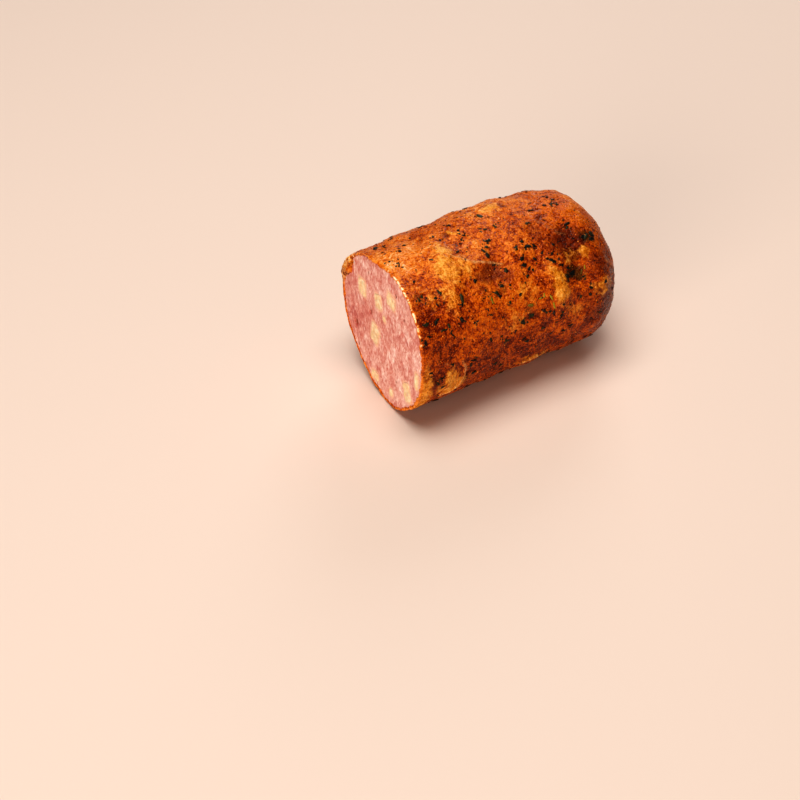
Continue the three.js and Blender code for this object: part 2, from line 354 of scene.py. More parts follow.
def shellPlaces(shell):
    points = np.array([vert.co for vert in shell.verts])
    radius = np.hypot(points[:, 1], points[:, 2])
    turn = np.degrees(np.arctan2(-points[:, 1], points[:, 2]))
    return points[:, 0], turn, radius


def moveShell(shell, points):
    for vert, point in zip(shell.verts, points.tolist()):
        vert.co = point
    shell.normal_update()


# Smoked and grilled sausage skin: protein browned to a thin crust, wet with its own fat, so it is a
# mottled burnt orange with small wet glints. Fat has an IOR of 1.46; the spice on it dulls its shine.
crustFinish = {
    "mottleSize": 8,
    "patchSize": 2.8,
    "granuleSize": 1.3,
    "grainSize": 0.7,
    "light": -0.83,  # how light it is with no pattern, and how much of each pattern is added
    "mottleLight": 0.7,
    "patchLight": 0.85,
    "grainLight": 1.05,
    "gapShade": -0.25,
    "granuleLight": (0.36, 0.15),  # on top, and on the sides that browned longer and are painted in shade
    "granuleMiddle": 0.4,  # granules above this value are lighter, the others darker
    # its shades on top, and redder ones for the sides: partly longer browning, partly painted shade
    "topShades": [(0.0, "#6e2206"), (0.2, "#a2420a"), (0.4, "#cc6816"), (0.55, "#de7e22"),
                  (0.72, "#ec923a"), (0.86, "#f4aa60"), (1.0, "#fbc898")],
    "bakedAndShadedShades": [(0.0, "#5e1c04"), (0.2, "#9a4004"), (0.4, "#c45c04"), (0.55, "#d26a06"),
                    (0.72, "#de7a10"), (0.86, "#ec8e22"), (1.0, "#fca844")],
    "raggedEdges": 0.25,  # how far the patches shift the edge of a layer
    "layerLight": 0.15,  # how much of the lightness, the patches and the grain shades a layer
    "layerPatches": 0.55,
    "layerGrain": 0.45,
    "layerStart": 8.0,  # how fast a layer sets in from nothing
    "roughness": (0.18, 0.44),
    "glossPatches": (0.35, 0.62),  # from the shiny patches to the dull ones
    "granuleRise": 0.8,
    "bumpDepth": 0.48,
    "ior": 1.46,
    "specular": 0.22,
}
# What lies over the skin's own colour, with painted shade and painted highlights among it: the attribute that
# holds its amount, its shades from dark to light, the amounts at which it begins and is full, and how much it
# then covers
crustLayers = [
    # dark: browned patches, with painted shade in hollows, the valley and grooves
    ("dark", [(0.35, "#3c1004"), (0.5, "#6a2408"), (0.7, "#9c4414")], (0.1, 1.1), 0.88),
    ("gold", [(0.36, "#b0600e"), (0.5, "#e09226"), (0.66, "#fcc468")], (0.08, 0.85), 0.85),
    ("stain", [(0.35, "#141004"), (0.5, "#30230c"), (0.7, "#6e4a16")], (0.3, 1.2), 0.85),
    # pale: paler crust, with a painted highlight on crests and ridges
    ("pale", [(0.35, "#c88848"), (0.5, "#e8b070"), (0.7, "#f8e0b4")], (0.2, 1.2), 0.9),
    # lip: the rim's own orange, with a painted highlight on its near upper side
    ("lip", [(0.38, "#b85410"), (0.5, "#dc7418"), (0.62, "#f4a03c")], (0.1, 0.7), 0.85),
    # glint: a painted highlight in beads along the cut's wet edge
    ("glint", [(0.4, "#f0a850"), (0.46, "#fcd490"), (0.55, "#fff0d0")], (0.2, 0.6), 0.95),
]


def makeCrustMaterial():
    material, shader = newMaterial("browned_fatty_skin")
    place = addNode(material, "TexCoord").outputs["Object"]
    mottle = addNode(material, "TexNoise", {"Vector": place, "Scale": perMetre(crustFinish["mottleSize"]),
                                            "Detail": 3.0, "Roughness": 0.55, "Distortion": 0.6})
    patch = addNode(material, "TexNoise", {"Vector": place, "Scale": perMetre(crustFinish["patchSize"]),
                                           "Detail": 3.0, "Roughness": 0.55, "Distortion": 0.5})
    grain = addNode(material, "TexNoise", {"Vector": place, "Scale": perMetre(crustFinish["grainSize"]),
                                           "Detail": 1.0, "Roughness": 0.5})
    granule = addNode(material, "TexVoronoi",
                      {"Vector": place, "Scale": perMetre(crustFinish["granuleSize"])}, feature="SMOOTH_F1")
    perGranule = addNode(material, "SeparateColor", {"Color": granule.outputs["Color"]})
    lightness = addNode(material, "Attribute", attribute_name="lightness")
    bakedAndShaded = addNode(material, "Attribute", attribute_name="bakedAndShaded")
    # how light the skin is: uneven at four sizes, darker between granules as painted shade, coarser on top
    coarse = addNode(material, "MapRange", {"Value": bakedAndShaded.outputs["Fac"],
                                            "To Min": crustFinish["granuleLight"][0],
                                            "To Max": crustFinish["granuleLight"][1]})
    granules = addNode(material, "Math", {0: perGranule.outputs[0], 1: -crustFinish["granuleMiddle"]},
                       operation="ADD")
    granules = addNode(material, "Math", {0: granules.outputs[0], 1: coarse.outputs[0]}, operation="MULTIPLY")
    light = addNode(material, "Math", {0: lightness.outputs["Fac"], 1: crustFinish["light"]}, operation="ADD")
    light = addNode(material, "Math", {0: light.outputs[0], 1: granules.outputs[0]}, operation="ADD")
    patterns = [
        (mottle.outputs["Fac"], crustFinish["mottleLight"]),
        (patch.outputs["Fac"], crustFinish["patchLight"]),
        (grain.outputs["Fac"], crustFinish["grainLight"]),
        (granule.outputs["Distance"], crustFinish["gapShade"]),
    ]
    for source, weight in patterns:
        light = addNode(material, "Math", {0: source, 1: weight, 2: light.outputs[0]},
                        operation="MULTIPLY_ADD")
    # the top's colour, and on the sides a redder one: partly longer browning, partly painted shade
    topColour = addNode(material, "ValToRGB", {"Fac": light.outputs[0]}, crustFinish["topShades"])
    bakedAndShadedColour = addNode(material, "ValToRGB", {"Fac": light.outputs[0]}, crustFinish["bakedAndShadedShades"])
    colour = addNode(material, "Mix", {0: bakedAndShaded.outputs["Fac"], 6: topColour.outputs["Color"],
                                       7: bakedAndShadedColour.outputs["Color"]}, data_type="RGBA")
    # the layers over it: the patches make their edges ragged, and each is darker and lighter in spots
    wobble = addNode(material, "MapRange", {"Value": patch.outputs["Fac"],
                                            "From Min": noiseRange[0], "From Max": noiseRange[1],
                                            "To Min": -crustFinish["raggedEdges"],
                                            "To Max": crustFinish["raggedEdges"]})
    shading = addNode(material, "Math", {0: lightness.outputs["Fac"], 1: crustFinish["layerLight"]},
                      operation="MULTIPLY")
    for source, weight in ((patch.outputs["Fac"], crustFinish["layerPatches"]),
                           (grain.outputs["Fac"], crustFinish["layerGrain"])):
        shading = addNode(material, "Math", {0: source, 1: weight, 2: shading.outputs[0]},
                          operation="MULTIPLY_ADD")
    for label, shades, (begins, full), most in crustLayers:
        amount = addNode(material, "Attribute", attribute_name=label)
        shifted = addNode(material, "Math", {0: amount.outputs["Fac"], 1: wobble.outputs[0]}, operation="ADD")
        present = addNode(material, "Math", {0: amount.outputs["Fac"], 1: crustFinish["layerStart"]},
                          operation="MULTIPLY", use_clamp=True)
        mask = addNode(material, "MapRange", {"Value": shifted.outputs[0], "From Min": begins,
                                              "From Max": full, "To Max": most},
                       interpolation_type="SMOOTHSTEP")
        mask = addNode(material, "Math", {0: mask.outputs[0], 1: present.outputs[0]}, operation="MULTIPLY")
        shade = addNode(material, "ValToRGB", {"Fac": shading.outputs[0]}, shades)
        colour = addNode(material, "Mix", {0: mask.outputs[0], 6: colour.outputs[2],
                                           7: shade.outputs["Color"]}, data_type="RGBA")
    gloss = addNode(material, "MapRange", {"Value": patch.outputs["Fac"],
                                           "From Min": crustFinish["glossPatches"][0],
                                           "From Max": crustFinish["glossPatches"][1],
                                           "To Min": crustFinish["roughness"][0],
                                           "To Max": crustFinish["roughness"][1]})
    relief = addNode(material, "Math", {0: granule.outputs["Distance"], 1: -crustFinish["granuleRise"],
                                        2: grain.outputs["Fac"]}, operation="MULTIPLY_ADD")
    bump = addNode(material, "Bump", {"Height": relief.outputs[0], "Strength": 1.0,
                                      "Distance": crustFinish["bumpDepth"] * millimetre})
    material.node_tree.links.new(colour.outputs[2], shader.inputs["Base Color"])
    material.node_tree.links.new(gloss.outputs[0], shader.inputs["Roughness"])
    material.node_tree.links.new(bump.outputs[0], shader.inputs["Normal"])
    shader.inputs["IOR"].default_value = crustFinish["ior"]
    shader.inputs["Specular IOR Level"].default_value = crustFinish["specular"]
    return material


# Places where the crust differs in colour: x, turn, reach along, reach round in degrees, strength
goldPatches = [
    (-33, 28, 4.2, 9, 1.1),  # cheese just under the skin, baked gold: the bulge
    (-29, 12, 3.6, 8, 0.7),
    (-25, 29, 3.6, 7, 0.6),
    (-37, 49, 2.8, 8, 0.5),  # and its tail
    (-46, 45, 2.8, 5, 0.42),
    (-42, 107, 4.5, 8, 0.95),
    (-55.5, 112, 2.8, 16, 1.5),
    (15, 66, 3.2, 9, 1.2),
    (25, 51, 4, 6, 0.45),
    (38, 77, 4.5, 4, 0.75),
    (33.5, 50, 1.6, 2.5, 0.9),
    (-3, 61, 4, 4, 0.5),
    (1, 119, 6, 3, 0.9),
    (6, -11, 3, 5, 0.7),
    (-17.5, -2, 0.8, 2.5, 1.0),
    (-9, 80, 5, 6, 0.35),
    (22, 88, 5, 6, 0.35),
    (-28, -52, 5, 5, 0.85),
    (-24, -61, 3, 6, 0.7),
    (22, -69, 3, 9, 0.8),
    (17, -78, 4, 4, 0.6),
    (-46, -95, 2.6, 9, 0.75),
    (-40, -104, 4, 4, 0.5),
    (4, -128, 6, 8, 0.8),
    (44, -25, 3, 6, 0.6),
    (-58, -66, 2.5, 10, 0.7),
]
# partly browned darker crust, partly painted shade in hollows, the valley, pits and folds by the flap
darkAndShadedPatches = [
    (-14, 42, 6, 5, 1.0),  # hollow under the fold
    (-8, 47, 4, 4, 0.6),
    (28, 42, 5.5, 9, 1.5),  # valley
    (23, 37, 4, 6, 0.7),
    (15, 24, 4, 7, 0.55),
    (-52, 50, 2.5, 12, 0.4),
    (-57.5, -82, 1.2, 6, 1.0),
    (-60.5, -77, 1.2, 4, 0.9),
    (-50, 103, 2, 8, 0.9),
    (-1, 79, 2.6, 2.5, 1.1),
    (-36, 107, 1.6, 5, 0.9),
    (39, 62, 6, 7, 0.75),
    (38, 92, 9, 12, 0.7),
    (29, 101, 3, 4, 1.0),
    (-22, 52, 2, 3, 0.8),
    (-20, -3, 1.3, 3, 1.0),
    (12, -10, 1.8, 3, 0.9),
    (21, 15, 1.8, 2.5, 0.8),
    (46, 45, 7, 30, 0.3),
    (46, -60, 7, 40, 0.5),
    (-3, -95, 8, 10, 0.8),
    (36, -42, 5, 11, 0.8),
    (-40, -70, 4, 7, 0.7),
]
stainPatches = [
    (24, 62, 4.2, 3.6, 1.2),  # herbs steeped in fat
    (38, 42, 3.4, 3.6, 1.1),
    (29.5, 65, 2.4, 3.5, 0.7),
    (-14, 54, 3.2, 2.6, 0.7),
    (-2, 72, 2.4, 2.4, 0.7),
    (7, 33, 5, 2.6, 0.5),
    (-12, 28, 2, 4, 0.6),
    (-8, 20, 3, 3, 0.4),
    (-51, 40, 1.8, 3, 0.7),
    (35, 98, 2, 2.4, 0.7),
    (-6.5, 81, 1.8, 2, 0.7),
    (18, -45, 4, 5, 0.8),
    (-14, -80, 4, 4, 0.8),
]

# Broad places painted lighter or darker, partly as crust that browned less or more, partly as painted light
# and painted shade: x, turn, reach along, reach round in degrees, how much lighter
tonesAndShade = [
    (-50, -2, 13, 20, 0.34),  # beside the cut, on top
    (-44, 46, 9, 15, -0.22),
    (5, -16, 12, 14, 0.08),
    (18, -32, 14, 14, 0.15),
    (-16, 70, 9, 12, 0.1),
    (-40, 88, 12, 12, -0.06),
    # painted shade: darker towards the underside
    (-10, 112, 40, 16, -0.2),
    # painted light on the low lumps by the cut
    (-42, 107, 5, 9, 0.2),
    (-55, 112, 4, 14, 0.25),
    (48, 10, 8, 30, 0.12),
    (44, 90, 10, 26, -0.17),
    (-50, 84, 7, 18, -0.16),
    (20, 58, 20, 22, -0.09),
    (28, 42, 6, 9, -0.12),
    (-18, 100, 22, 14, -0.06),
]

# The crust's own mesh: corners round the roll, rings along it and round its end, how far behind the
# cut the rings start (mm), and how far in the wall behind the cut has a ring (in radii)
crustMesh = {"around": 400, "along": 165, "roundTheEnd": 52, "ringsFrom": 1.1, "wallRing": 0.5}
# The lip that the skin makes round the cut, and where it is turned over as a flap (mm, degrees)
lip = {
    "width": 1.25,
    "recess": 1.7,
    "ragged": 0.6,  # how uneven the width is, and its least share
    "raggedSize": 2.4,
    "narrowest": 0.5,
    "front": 0.6,  # how deep the part is that moves out of the cut
    "frontWobble": 0.4,
    "wobbleFrom": 0.6,
    "wobbleMost": 1.6,
    "flapTurn": -70,
    "flapSpread": 7.5,
    "flapWidth": 4.2,
    "flapUneven": 0.6,
    "flapUnevenSize": 9,
    "flapFrom": 1.5,  # it counts as the flap where it is this many times as wide as usual
    "flapForward": 0.7,
    "crumple": 0.8,
    "crumpleSize": 2.4,
    "crumpleCrest": 0.5,
    "crumpleFall": 1.4,
}
# Fine folds in the skin beside the flap (mm, degrees), and how dark their grooves are painted as shade and
# how pale their crests as a highlight
flapFold = {
    "turn": -54,
    "turnReach": 44,
    "x": -58.4,
    "xReach": 3,
    "size": 1.9,
    "height": 0.22,
    "bend": 1.6,
    "bendSize": 5,
    "dark": 1.4,
    "pale": 1.7,
}
# How patches lose their round outline: two sizes of wandering, and how far each goes (mm)
wandering = {"size": 5, "reach": 2.2, "fineSize": 1.7, "fineReach": 1.1}
patchEdge = 1.6  # the higher, the more sudden the edge of a patch
# Where the skin is redder and deeper, partly browned longer and partly painted shade on the sides and the
# underside: this far round from its palest turn, from this x on, and how fast
browningAndShade = {"paleTurn": 8, "fromTurn": 42, "overTurn": 9, "fromX": 22, "overX": 9, "sides": 0.75}
# The rim of the cut painted bright: its own orange everywhere, and more at some turns (turn, reach,
# strength), a painted highlight on the near upper side and golden crumbs underneath. It is full strength at
# first, and fades out over little more than the depth (mm)
rimColourAndHighlight = {"everywhere": 0.4, "more": [(25, 50, 0.7), (140, 40, 0.2)], "depth": 0.9, "full": 1.4}
# Painted highlight in beads along the wet edge of the cut: at which turns, how strong in the mean and how
# uneven, their size and how deep behind the cut they reach (mm), and from which radius outwards on the far
# side and the near one
paintedGlints = {
    "nearTurn": 38,
    "nearReach": 30,
    "farTurn": -62,
    "farReach": 14,
    "farStrength": 0.7,
    "mean": 0.62,
    "uneven": 1.6,
    "size": 1.3,
    "depth": 0.4,
    "from": (0.95, 0.985),
}


def crustProfile():
    radius = roll["radius"]
    width = lip["width"]
    recess = lip["recess"]
    # the lip's section from the sunk wall to the skin: how deep behind the cut (mm), and how far inside
    # the skin (in lip widths)
    section = [(recess, 1.35), (0.5, 1.2), (0.15, 1.05), (0.04, 0.93), (0, 0.82), (0, 0.71), (0, 0.6),
               (0, 0.49), (0.04, 0.38), (0.1, 0.28), (0.2, 0.19), (0.35, 0.1), (0.7, 0.02)]
    profile = [(cutX + recess, 0), (cutX + recess, radius * crustMesh["wallRing"])]
    profile += [(cutX + depth, radius - inside * width) for depth, inside in section]
    straight = roll["length"] - roll["domeLength"]
    start = crustMesh["ringsFrom"]
    for i in range(crustMesh["along"] + 1):
        profile.append((cutX + start + (straight - start) * i / crustMesh["along"], radius))
    for i in range(1, crustMesh["roundTheEnd"]):
        bend = math.pi / 2 * i / crustMesh["roundTheEnd"]
        x = roll["length"] / 2 - roll["domeLength"] * (1 - math.sin(bend) ** (2 / roll["domePower"]))
        profile.append((x, radius * math.cos(bend) ** (2 / roll["domePower"])))
    profile.append((roll["length"] / 2, 0))
    return profile


def lipScale(turn):
    # how much wider than usual the lip is at each turn: ragged, and folded over at the far top
    angle = np.radians(turn)
    ring = np.stack([np.cos(angle), np.sin(angle), np.zeros_like(angle)], -1) * roll["radius"]
    ring = [Vector(place) for place in ring.tolist()]
    increment, lacunarity, octaves = 0.8, 2.0, 3
    ragged = np.array([noise.fractal(place / lip["raggedSize"], increment, lacunarity, octaves)
                       for place in ring])
    slow = np.array([noise.noise(place / lip["flapUnevenSize"]) for place in ring])
    flap = np.exp(-(wrapTurn(turn - lip["flapTurn"]) / lip["flapSpread"]) ** 2 / 2)
    flap = flap * (lip["flapWidth"] / lip["width"]) * (1 + lip["flapUneven"] * slow)
    return np.maximum(1 + lip["ragged"] * ragged, lip["narrowest"]) + flap


def patchAmount(x, turn, patches):
    amount = np.zeros_like(x)
    for patch in patches:
        shape = np.exp(-(awayFrom(x, turn, patch) / 2) ** patchEdge)
        amount = np.maximum(amount, patch[4] * shape)
    return amount


def toneAndShadeAmount(x, turn):
    return sum(hill(x, turn, tone) for tone in tonesAndShade)


def wander(x, turn):
    # shifts places by a few millimetres, so that no patch has a round outline
    angle = np.radians(turn)
    places = np.stack([x, -np.sin(angle) * roll["radius"], np.cos(angle) * roll["radius"]], -1)
    shifts = []
    for place in places.tolist():
        broad = noise.noise_vector(Vector(place) / wandering["size"]) * wandering["reach"]
        fine = noise.noise_vector(Vector(place) / wandering["fineSize"]) * wandering["fineReach"]
        shifts.append(broad + fine)
    shifts = np.array(shifts)
    return x + shifts[:, 0], turn + (shifts[:, 1] + shifts[:, 2]) / perDegree


def bakedAndShadedAmount(x, turn):
    # the near side, the underside and the rounded end are redder and deeper than the top by the cut: partly
    # longer browning, partly painted shade
    fromTop = np.abs(wrapTurn(turn - browningAndShade["paleTurn"]))
    side = 1 / (1 + np.exp(-(fromTop - browningAndShade["fromTurn"]) / browningAndShade["overTurn"]))
    ending = 1 / (1 + np.exp(-(x - browningAndShade["fromX"]) / browningAndShade["overX"]))
    return np.maximum(browningAndShade["sides"] * side, ending)


def flapFolds(along, turn):
    # fine folds beside the far top of the cut: above zero on a crest, below it in a groove
    fromTurn = wrapTurn(turn - flapFold["turn"]) / flapFold["turnReach"]
    fromX = (along - flapFold["x"]) / flapFold["xReach"]
    near = np.exp(-fromTurn ** 4 - fromX ** 4)
    size = flapFold["bendSize"]
    bend = np.array([noise.noise(Vector((x / size, round_ / size, 0)))
                     for x, round_ in zip(along, turn * perDegree)])
    return near * np.cos(2 * math.pi * (along + flapFold["bend"] * bend) / flapFold["size"])


def lipColourAndHighlight(x, turn):
    # how much of the bright rim shows: its own orange at the cut itself, and most on the near upper side,
    # where it is a painted highlight
    near = rimColourAndHighlight["everywhere"]
    for middle, reach, strength in rimColourAndHighlight["more"]:
        near = near + strength * np.exp(-(wrapTurn(turn - middle) / reach) ** 2)
    return near * np.clip(rimColourAndHighlight["full"] - (x - cutX) / rimColourAndHighlight["depth"], 0, 1) * (x < 0)


def paintedGlintAmount(x, turn, share):
    # a painted highlight on the wet edge of the cut itself, in beads where the light runs along it
    near = np.exp(-(wrapTurn(turn - paintedGlints["nearTurn"]) / paintedGlints["nearReach"]) ** 4)
    far = paintedGlints["farStrength"] * np.exp(-(wrapTurn(turn - paintedGlints["farTurn"]) / paintedGlints["farReach"]) ** 2)
    bright = np.array([paintedGlints["mean"] + paintedGlints["uneven"] * noise.noise(Vector((place / paintedGlints["size"], 0, 0)))
                       for place in (turn * perDegree).tolist()])
    atEdge = (x - cutX < paintedGlints["depth"]) * (x < 0) * (share > np.where(turn < 0, *paintedGlints["from"]))
    return (near + far) * bright * atEdge


def makeCrust():
    shell = spinProfile(crustProfile(), crustMesh["around"])
    x, turn, radius = shellPlaces(shell)
    share = np.where(x > 0, radius > 1e-3, radius / roll["radius"]).astype(float)
    atLip = (share < 1) & (share > 0.8) & (x < 0)  # all the rings at the cut but those of the wall
    scale = lipScale(turn)
    share = np.where(atLip, 1 - (1 - share) * scale, share)
    # patterns carry on over the edge of the cut, as if the lip were unrolled
    along = np.where(atLip, x - (1 - share) * roll["radius"], x)
    creased = list(zip(creases, creaseShares(along, turn)))
    around = wander(along, turn)
    gold = patchAmount(*around, goldPatches)
    folds = flapFolds(along, turn)
    fine = skinHeights(smoothPlaces(x, turn)) + skin["goldRise"] * gold.clip(0, 1)
    fine = fine + flapFold["height"] * folds
    points = crustPoints(x, turn, share, fine)
    front = np.clip(1 - (x - cutX) / lip["front"], 0, 1) * atLip
    folded = (scale - lip["flapFrom"]).clip(0, 1)
    wobble = (scale - lip["wobbleFrom"]).clip(0, lip["wobbleMost"])
    forward = lip["frontWobble"] * wobble + lip["flapForward"] * folded
    for i in np.flatnonzero(front * folded > 0):
        place = Vector((along[i], turn[i] * perDegree, 0)) / lip["crumpleSize"]
        crumpled = lip["crumpleCrest"] - lip["crumpleFall"] * abs(noise.noise(place))
        forward[i] += lip["crumple"] * folded[i] * crumpled
    points += np.outer(forward * front * millimetre, np.array(cutOut))
    moveShell(shell, points)
    paleAndLitCreases = sum(pale * near for (_, _, _, pale), near in creased if pale > 0)
    creaseShade = sum(-pale * near for (_, _, _, pale), near in creased if pale < 0)
    grooveShade = flapFold["dark"] * (-folds).clip(0, 1) ** 1.5
    values = {
        "gold": gold,
        # browned patches, and painted shade in hollows, grooves and the flap's folds
        "dark": np.maximum(patchAmount(*around, darkAndShadedPatches), creaseShade) + grooveShade,
        "stain": patchAmount(*around, stainPatches),
        # painted light and shade by height, and the broad tones
        "lightness": skin["heightShading"] * fine + toneAndShadeAmount(*around),
        "bakedAndShaded": bakedAndShadedAmount(*around),
        # paler crust, and painted highlights on crease ridges and the flap's crests
        "pale": paleAndLitCreases + flapFold["pale"] * folds.clip(0, 1) ** 2,
        "lip": lipColourAndHighlight(x, turn) * (1 - folded),
        "glint": paintedGlintAmount(x, turn, share),
    }
    addPiece("browned_crust", shell, makeCrustMaterial(), ["sausage"], values)


makeCrust()
print("crust made")

# Coarse cured pork, cut with a knife: pink lean with paler fat drawn out in streaks, moist, IOR 1.38
meatFinish = {
    "regionSize": 9,
    "fatSize": 2.4,
    "fatStretch": 0.6,
    "fibreSize": 0.8,
    "fatGrainSize": 1.5,
    "speckSpacing": 3.0,
    "light": -0.89,  # how pale it is with no pattern, and how much of each pattern is added
    "fatLight": 1.1,
    "fibreLight": 0.85,
    "regionLight": 0.8,
    "leanAndShadeLight": -0.25,
    "shades": [(0.12, "#bc5a52"), (0.34, "#d08276"), (0.5, "#dca094"), (0.66, "#ebc0b6"), (0.88, "#fceee8")],
    "fatGrain": "#f8e0da",
    "fatGrainShare": 0.2,  # so many of the grains are fat
    "speck": "#b04848",
    # the holes' inside, painted dark as shade
    "hollow": "#86421e",
    "byCheese": "#ecc0a0",
    "bumpDepth": 0.25,
    "roughness": 0.4,
    "ior": 1.38,
    "seeThrough": 0.15,
    "seeThroughColour": (1.0, 0.35, 0.25),
    "seeThroughDepth": 0.8,
}
# The cut face's own mesh: corners and rings, its reach and that of the ring at its back (in radii), how
# far it lies behind the cut, how deep its edge is, and its thickness (mm)
meatMesh = {
    "around": 360,
    "rings": 72,
    "edge": 0.968,
    "backRing": 0.5,
    "sunk": 0.2,
    "edgeDepth": 0.1,
    "thick": 1.3,
}
# Its relief (mm): swells and grains, how it sinks under the cheese, how high it may stand and how deep
# it may sink, and how far the cheese's fat creeps into it
meatRelief = {
    "swell": 0.16,
    "swellSize": 5,
    "grain": 0.08,
    "grainSize": 1.4,
    "underCheese": 1.0,
    "cheeseRim": (0.35, 0.9),
    "cheeseDepth": 0.3,  # how deep behind the cut the cheese is looked for
    "limits": (-0.18, 1.05),
    "creamy": 0.8,
    "creamyReach": 0.8,
}
# where the cut is darker and redder towards its far side: partly leaner meat, partly painted shade; across
# and up on the cut from its middle, reach (mm)
leanAndShadePlace = (24, 4, 12)
# holes the knife left open, painted dark brown inside as shade: across and up on the cut from its middle,
# radius, depth (mm)
cavities = [
    (27.4, 11.6, 1.5, 1.6),
    (12.6, -2.6, 1.1, 1.5),
    (-11.5, -24.6, 0.9, 1.1),
    (24.5, 21.5, 0.8, 0.7),
    (2.5, 4.8, 0.7, 0.8),
    (-20, -17, 0.7, 0.7),
    (16, -21, 0.7, 0.7),
    (-14, 19, 0.6, 0.6),
]


def makeMeatMaterial():
    material, shader = newMaterial("cured_pork_cut")
    place = addNode(material, "TexCoord").outputs["Object"]
    stretched = addNode(material, "Mapping", {"Vector": place, "Scale": (1, 1, meatFinish["fatStretch"])})
    region = addNode(material, "TexNoise", {"Vector": place, "Scale": perMetre(meatFinish["regionSize"]),
                                            "Detail": 3.0, "Distortion": 0.8})
    streak = addNode(material, "TexNoise", {"Vector": stretched.outputs[0],
                                            "Scale": perMetre(meatFinish["fatSize"]),
                                            "Detail": 4.0, "Roughness": 0.62, "Distortion": 0.9})
    fibre = addNode(material, "TexNoise", {"Vector": stretched.outputs[0],
                                           "Scale": perMetre(meatFinish["fibreSize"]),
                                           "Detail": 2.0, "Roughness": 0.7})
    lean = addNode(material, "Attribute", attribute_name="lean")
    # lean meat is dark and fat is pale: streaks, fibres and broad regions of both, and painted shade towards
    # the far side
    amount = addNode(material, "Math", {0: streak.outputs["Fac"], 1: meatFinish["fatLight"],
                                        2: meatFinish["light"]}, operation="MULTIPLY_ADD")
    patterns = [
        (fibre.outputs["Fac"], meatFinish["fibreLight"]),
        (region.outputs["Fac"], meatFinish["regionLight"]),
        (lean.outputs["Fac"], meatFinish["leanAndShadeLight"]),
    ]
    for source, weight in patterns:
        amount = addNode(material, "Math", {0: source, 1: weight, 2: amount.outputs[0]},
                         operation="MULTIPLY_ADD")
    flesh = addNode(material, "ValToRGB", {"Fac": amount.outputs[0]}, meatFinish["shades"])
    # some grains of it are fat, and it has small red specks
    cell = addNode(material, "TexVoronoi", {"Vector": stretched.outputs[0],
                                            "Scale": perMetre(meatFinish["fatGrainSize"])})
    split = addNode(material, "SeparateColor", {"Color": cell.outputs["Color"]})
    chosen = addNode(material, "Math", {0: split.outputs[0], 1: meatFinish["fatGrainShare"]},
                     operation="LESS_THAN")
    fat = addNode(material, "MapRange", {"Value": cell.outputs["Distance"], "From Min": 0.6, "From Max": 0.1,
                                         "To Max": 0.6})
    mask = addNode(material, "Math", {0: chosen.outputs[0], 1: fat.outputs[0]}, operation="MULTIPLY")
    speck = addNode(material, "TexVoronoi", {"Vector": place, "Scale": perMetre(meatFinish["speckSpacing"])})
    dot = addNode(material, "MapRange", {"Value": speck.outputs["Distance"], "From Min": 0.2,
                                         "From Max": 0.08, "To Max": 0.4})
    hollow = addNode(material, "Attribute", attribute_name="hollow")
    creamy = addNode(material, "Attribute", attribute_name="creamy")
    colour = flesh.outputs["Color"]
    over = [
        (mask.outputs[0], meatFinish["fatGrain"]),
        (dot.outputs[0], meatFinish["speck"]),
        (hollow.outputs["Fac"], meatFinish["hollow"]),
        (creamy.outputs["Fac"], meatFinish["byCheese"]),
    ]
    for share, hexColour in over:
        mix = addNode(material, "Mix", {0: share, 6: colour, 7: linear(hexColour)}, data_type="RGBA")
        colour = mix.outputs[2]
    bump = addNode(material, "Bump", {"Height": fibre.outputs["Fac"], "Strength": 0.6,
                                      "Distance": meatFinish["bumpDepth"] * millimetre})
    material.node_tree.links.new(colour, shader.inputs["Base Color"])
    material.node_tree.links.new(bump.outputs[0], shader.inputs["Normal"])
    shader.inputs["Roughness"].default_value = meatFinish["roughness"]
    shader.inputs["IOR"].default_value = meatFinish["ior"]
    shader.inputs["Subsurface Weight"].default_value = meatFinish["seeThrough"]
    shader.inputs["Subsurface Radius"].default_value = meatFinish["seeThroughColour"]
    shader.inputs["Subsurface Scale"].default_value = meatFinish["seeThroughDepth"] * millimetre
    return material


def meatProfile():
    radius = roll["radius"]
    front = cutX + meatMesh["sunk"]
    back = cutX + meatMesh["thick"]
    profile = [(front, radius * meatMesh["edge"] * i / meatMesh["rings"]) for i in range(meatMesh["rings"])]
    profile += [(front + meatMesh["edgeDepth"], radius * meatMesh["edge"]), (back, radius * meatMesh["edge"])]
    profile += [(back, radius * meatMesh["backRing"]), (back, 0)]
    return profile


def nodeMesh(name):
    # a copy of a CAD node's mesh with its loose triangles merged
    shell = bmesh.new()
    shell.from_mesh(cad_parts[name].data)
    bmesh.ops.remove_doubles(shell, verts=shell.verts[:], dist=1e-6)
    return shell


cheeseNames = sorted(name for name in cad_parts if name.startswith("cheese"))


def cheeseDistance(points):
    # millimetres from each point to the nearest cheese, below zero inside it
    farthest = 3  # beyond this it isn't looked for
    nearest = np.full(len(points), 99.0)
    for name in cheeseNames:
        shell = nodeMesh(name)
        tree = BVHTree.FromBMesh(shell)
        shell.free()
        for i, place in enumerate(points.tolist()):
            point = Vector(place)
            spot, normal, _, away = tree.find_nearest(point, farthest * millimetre)
            if spot is None:
                continue
            flat = (point - spot) - (point - spot).dot(cutOut) * cutOut
            away = away if (point - spot).dot(normal) > 0 else -flat.length - 1e-9
            nearest[i] = min(nearest[i], away / millimetre)
    return nearest


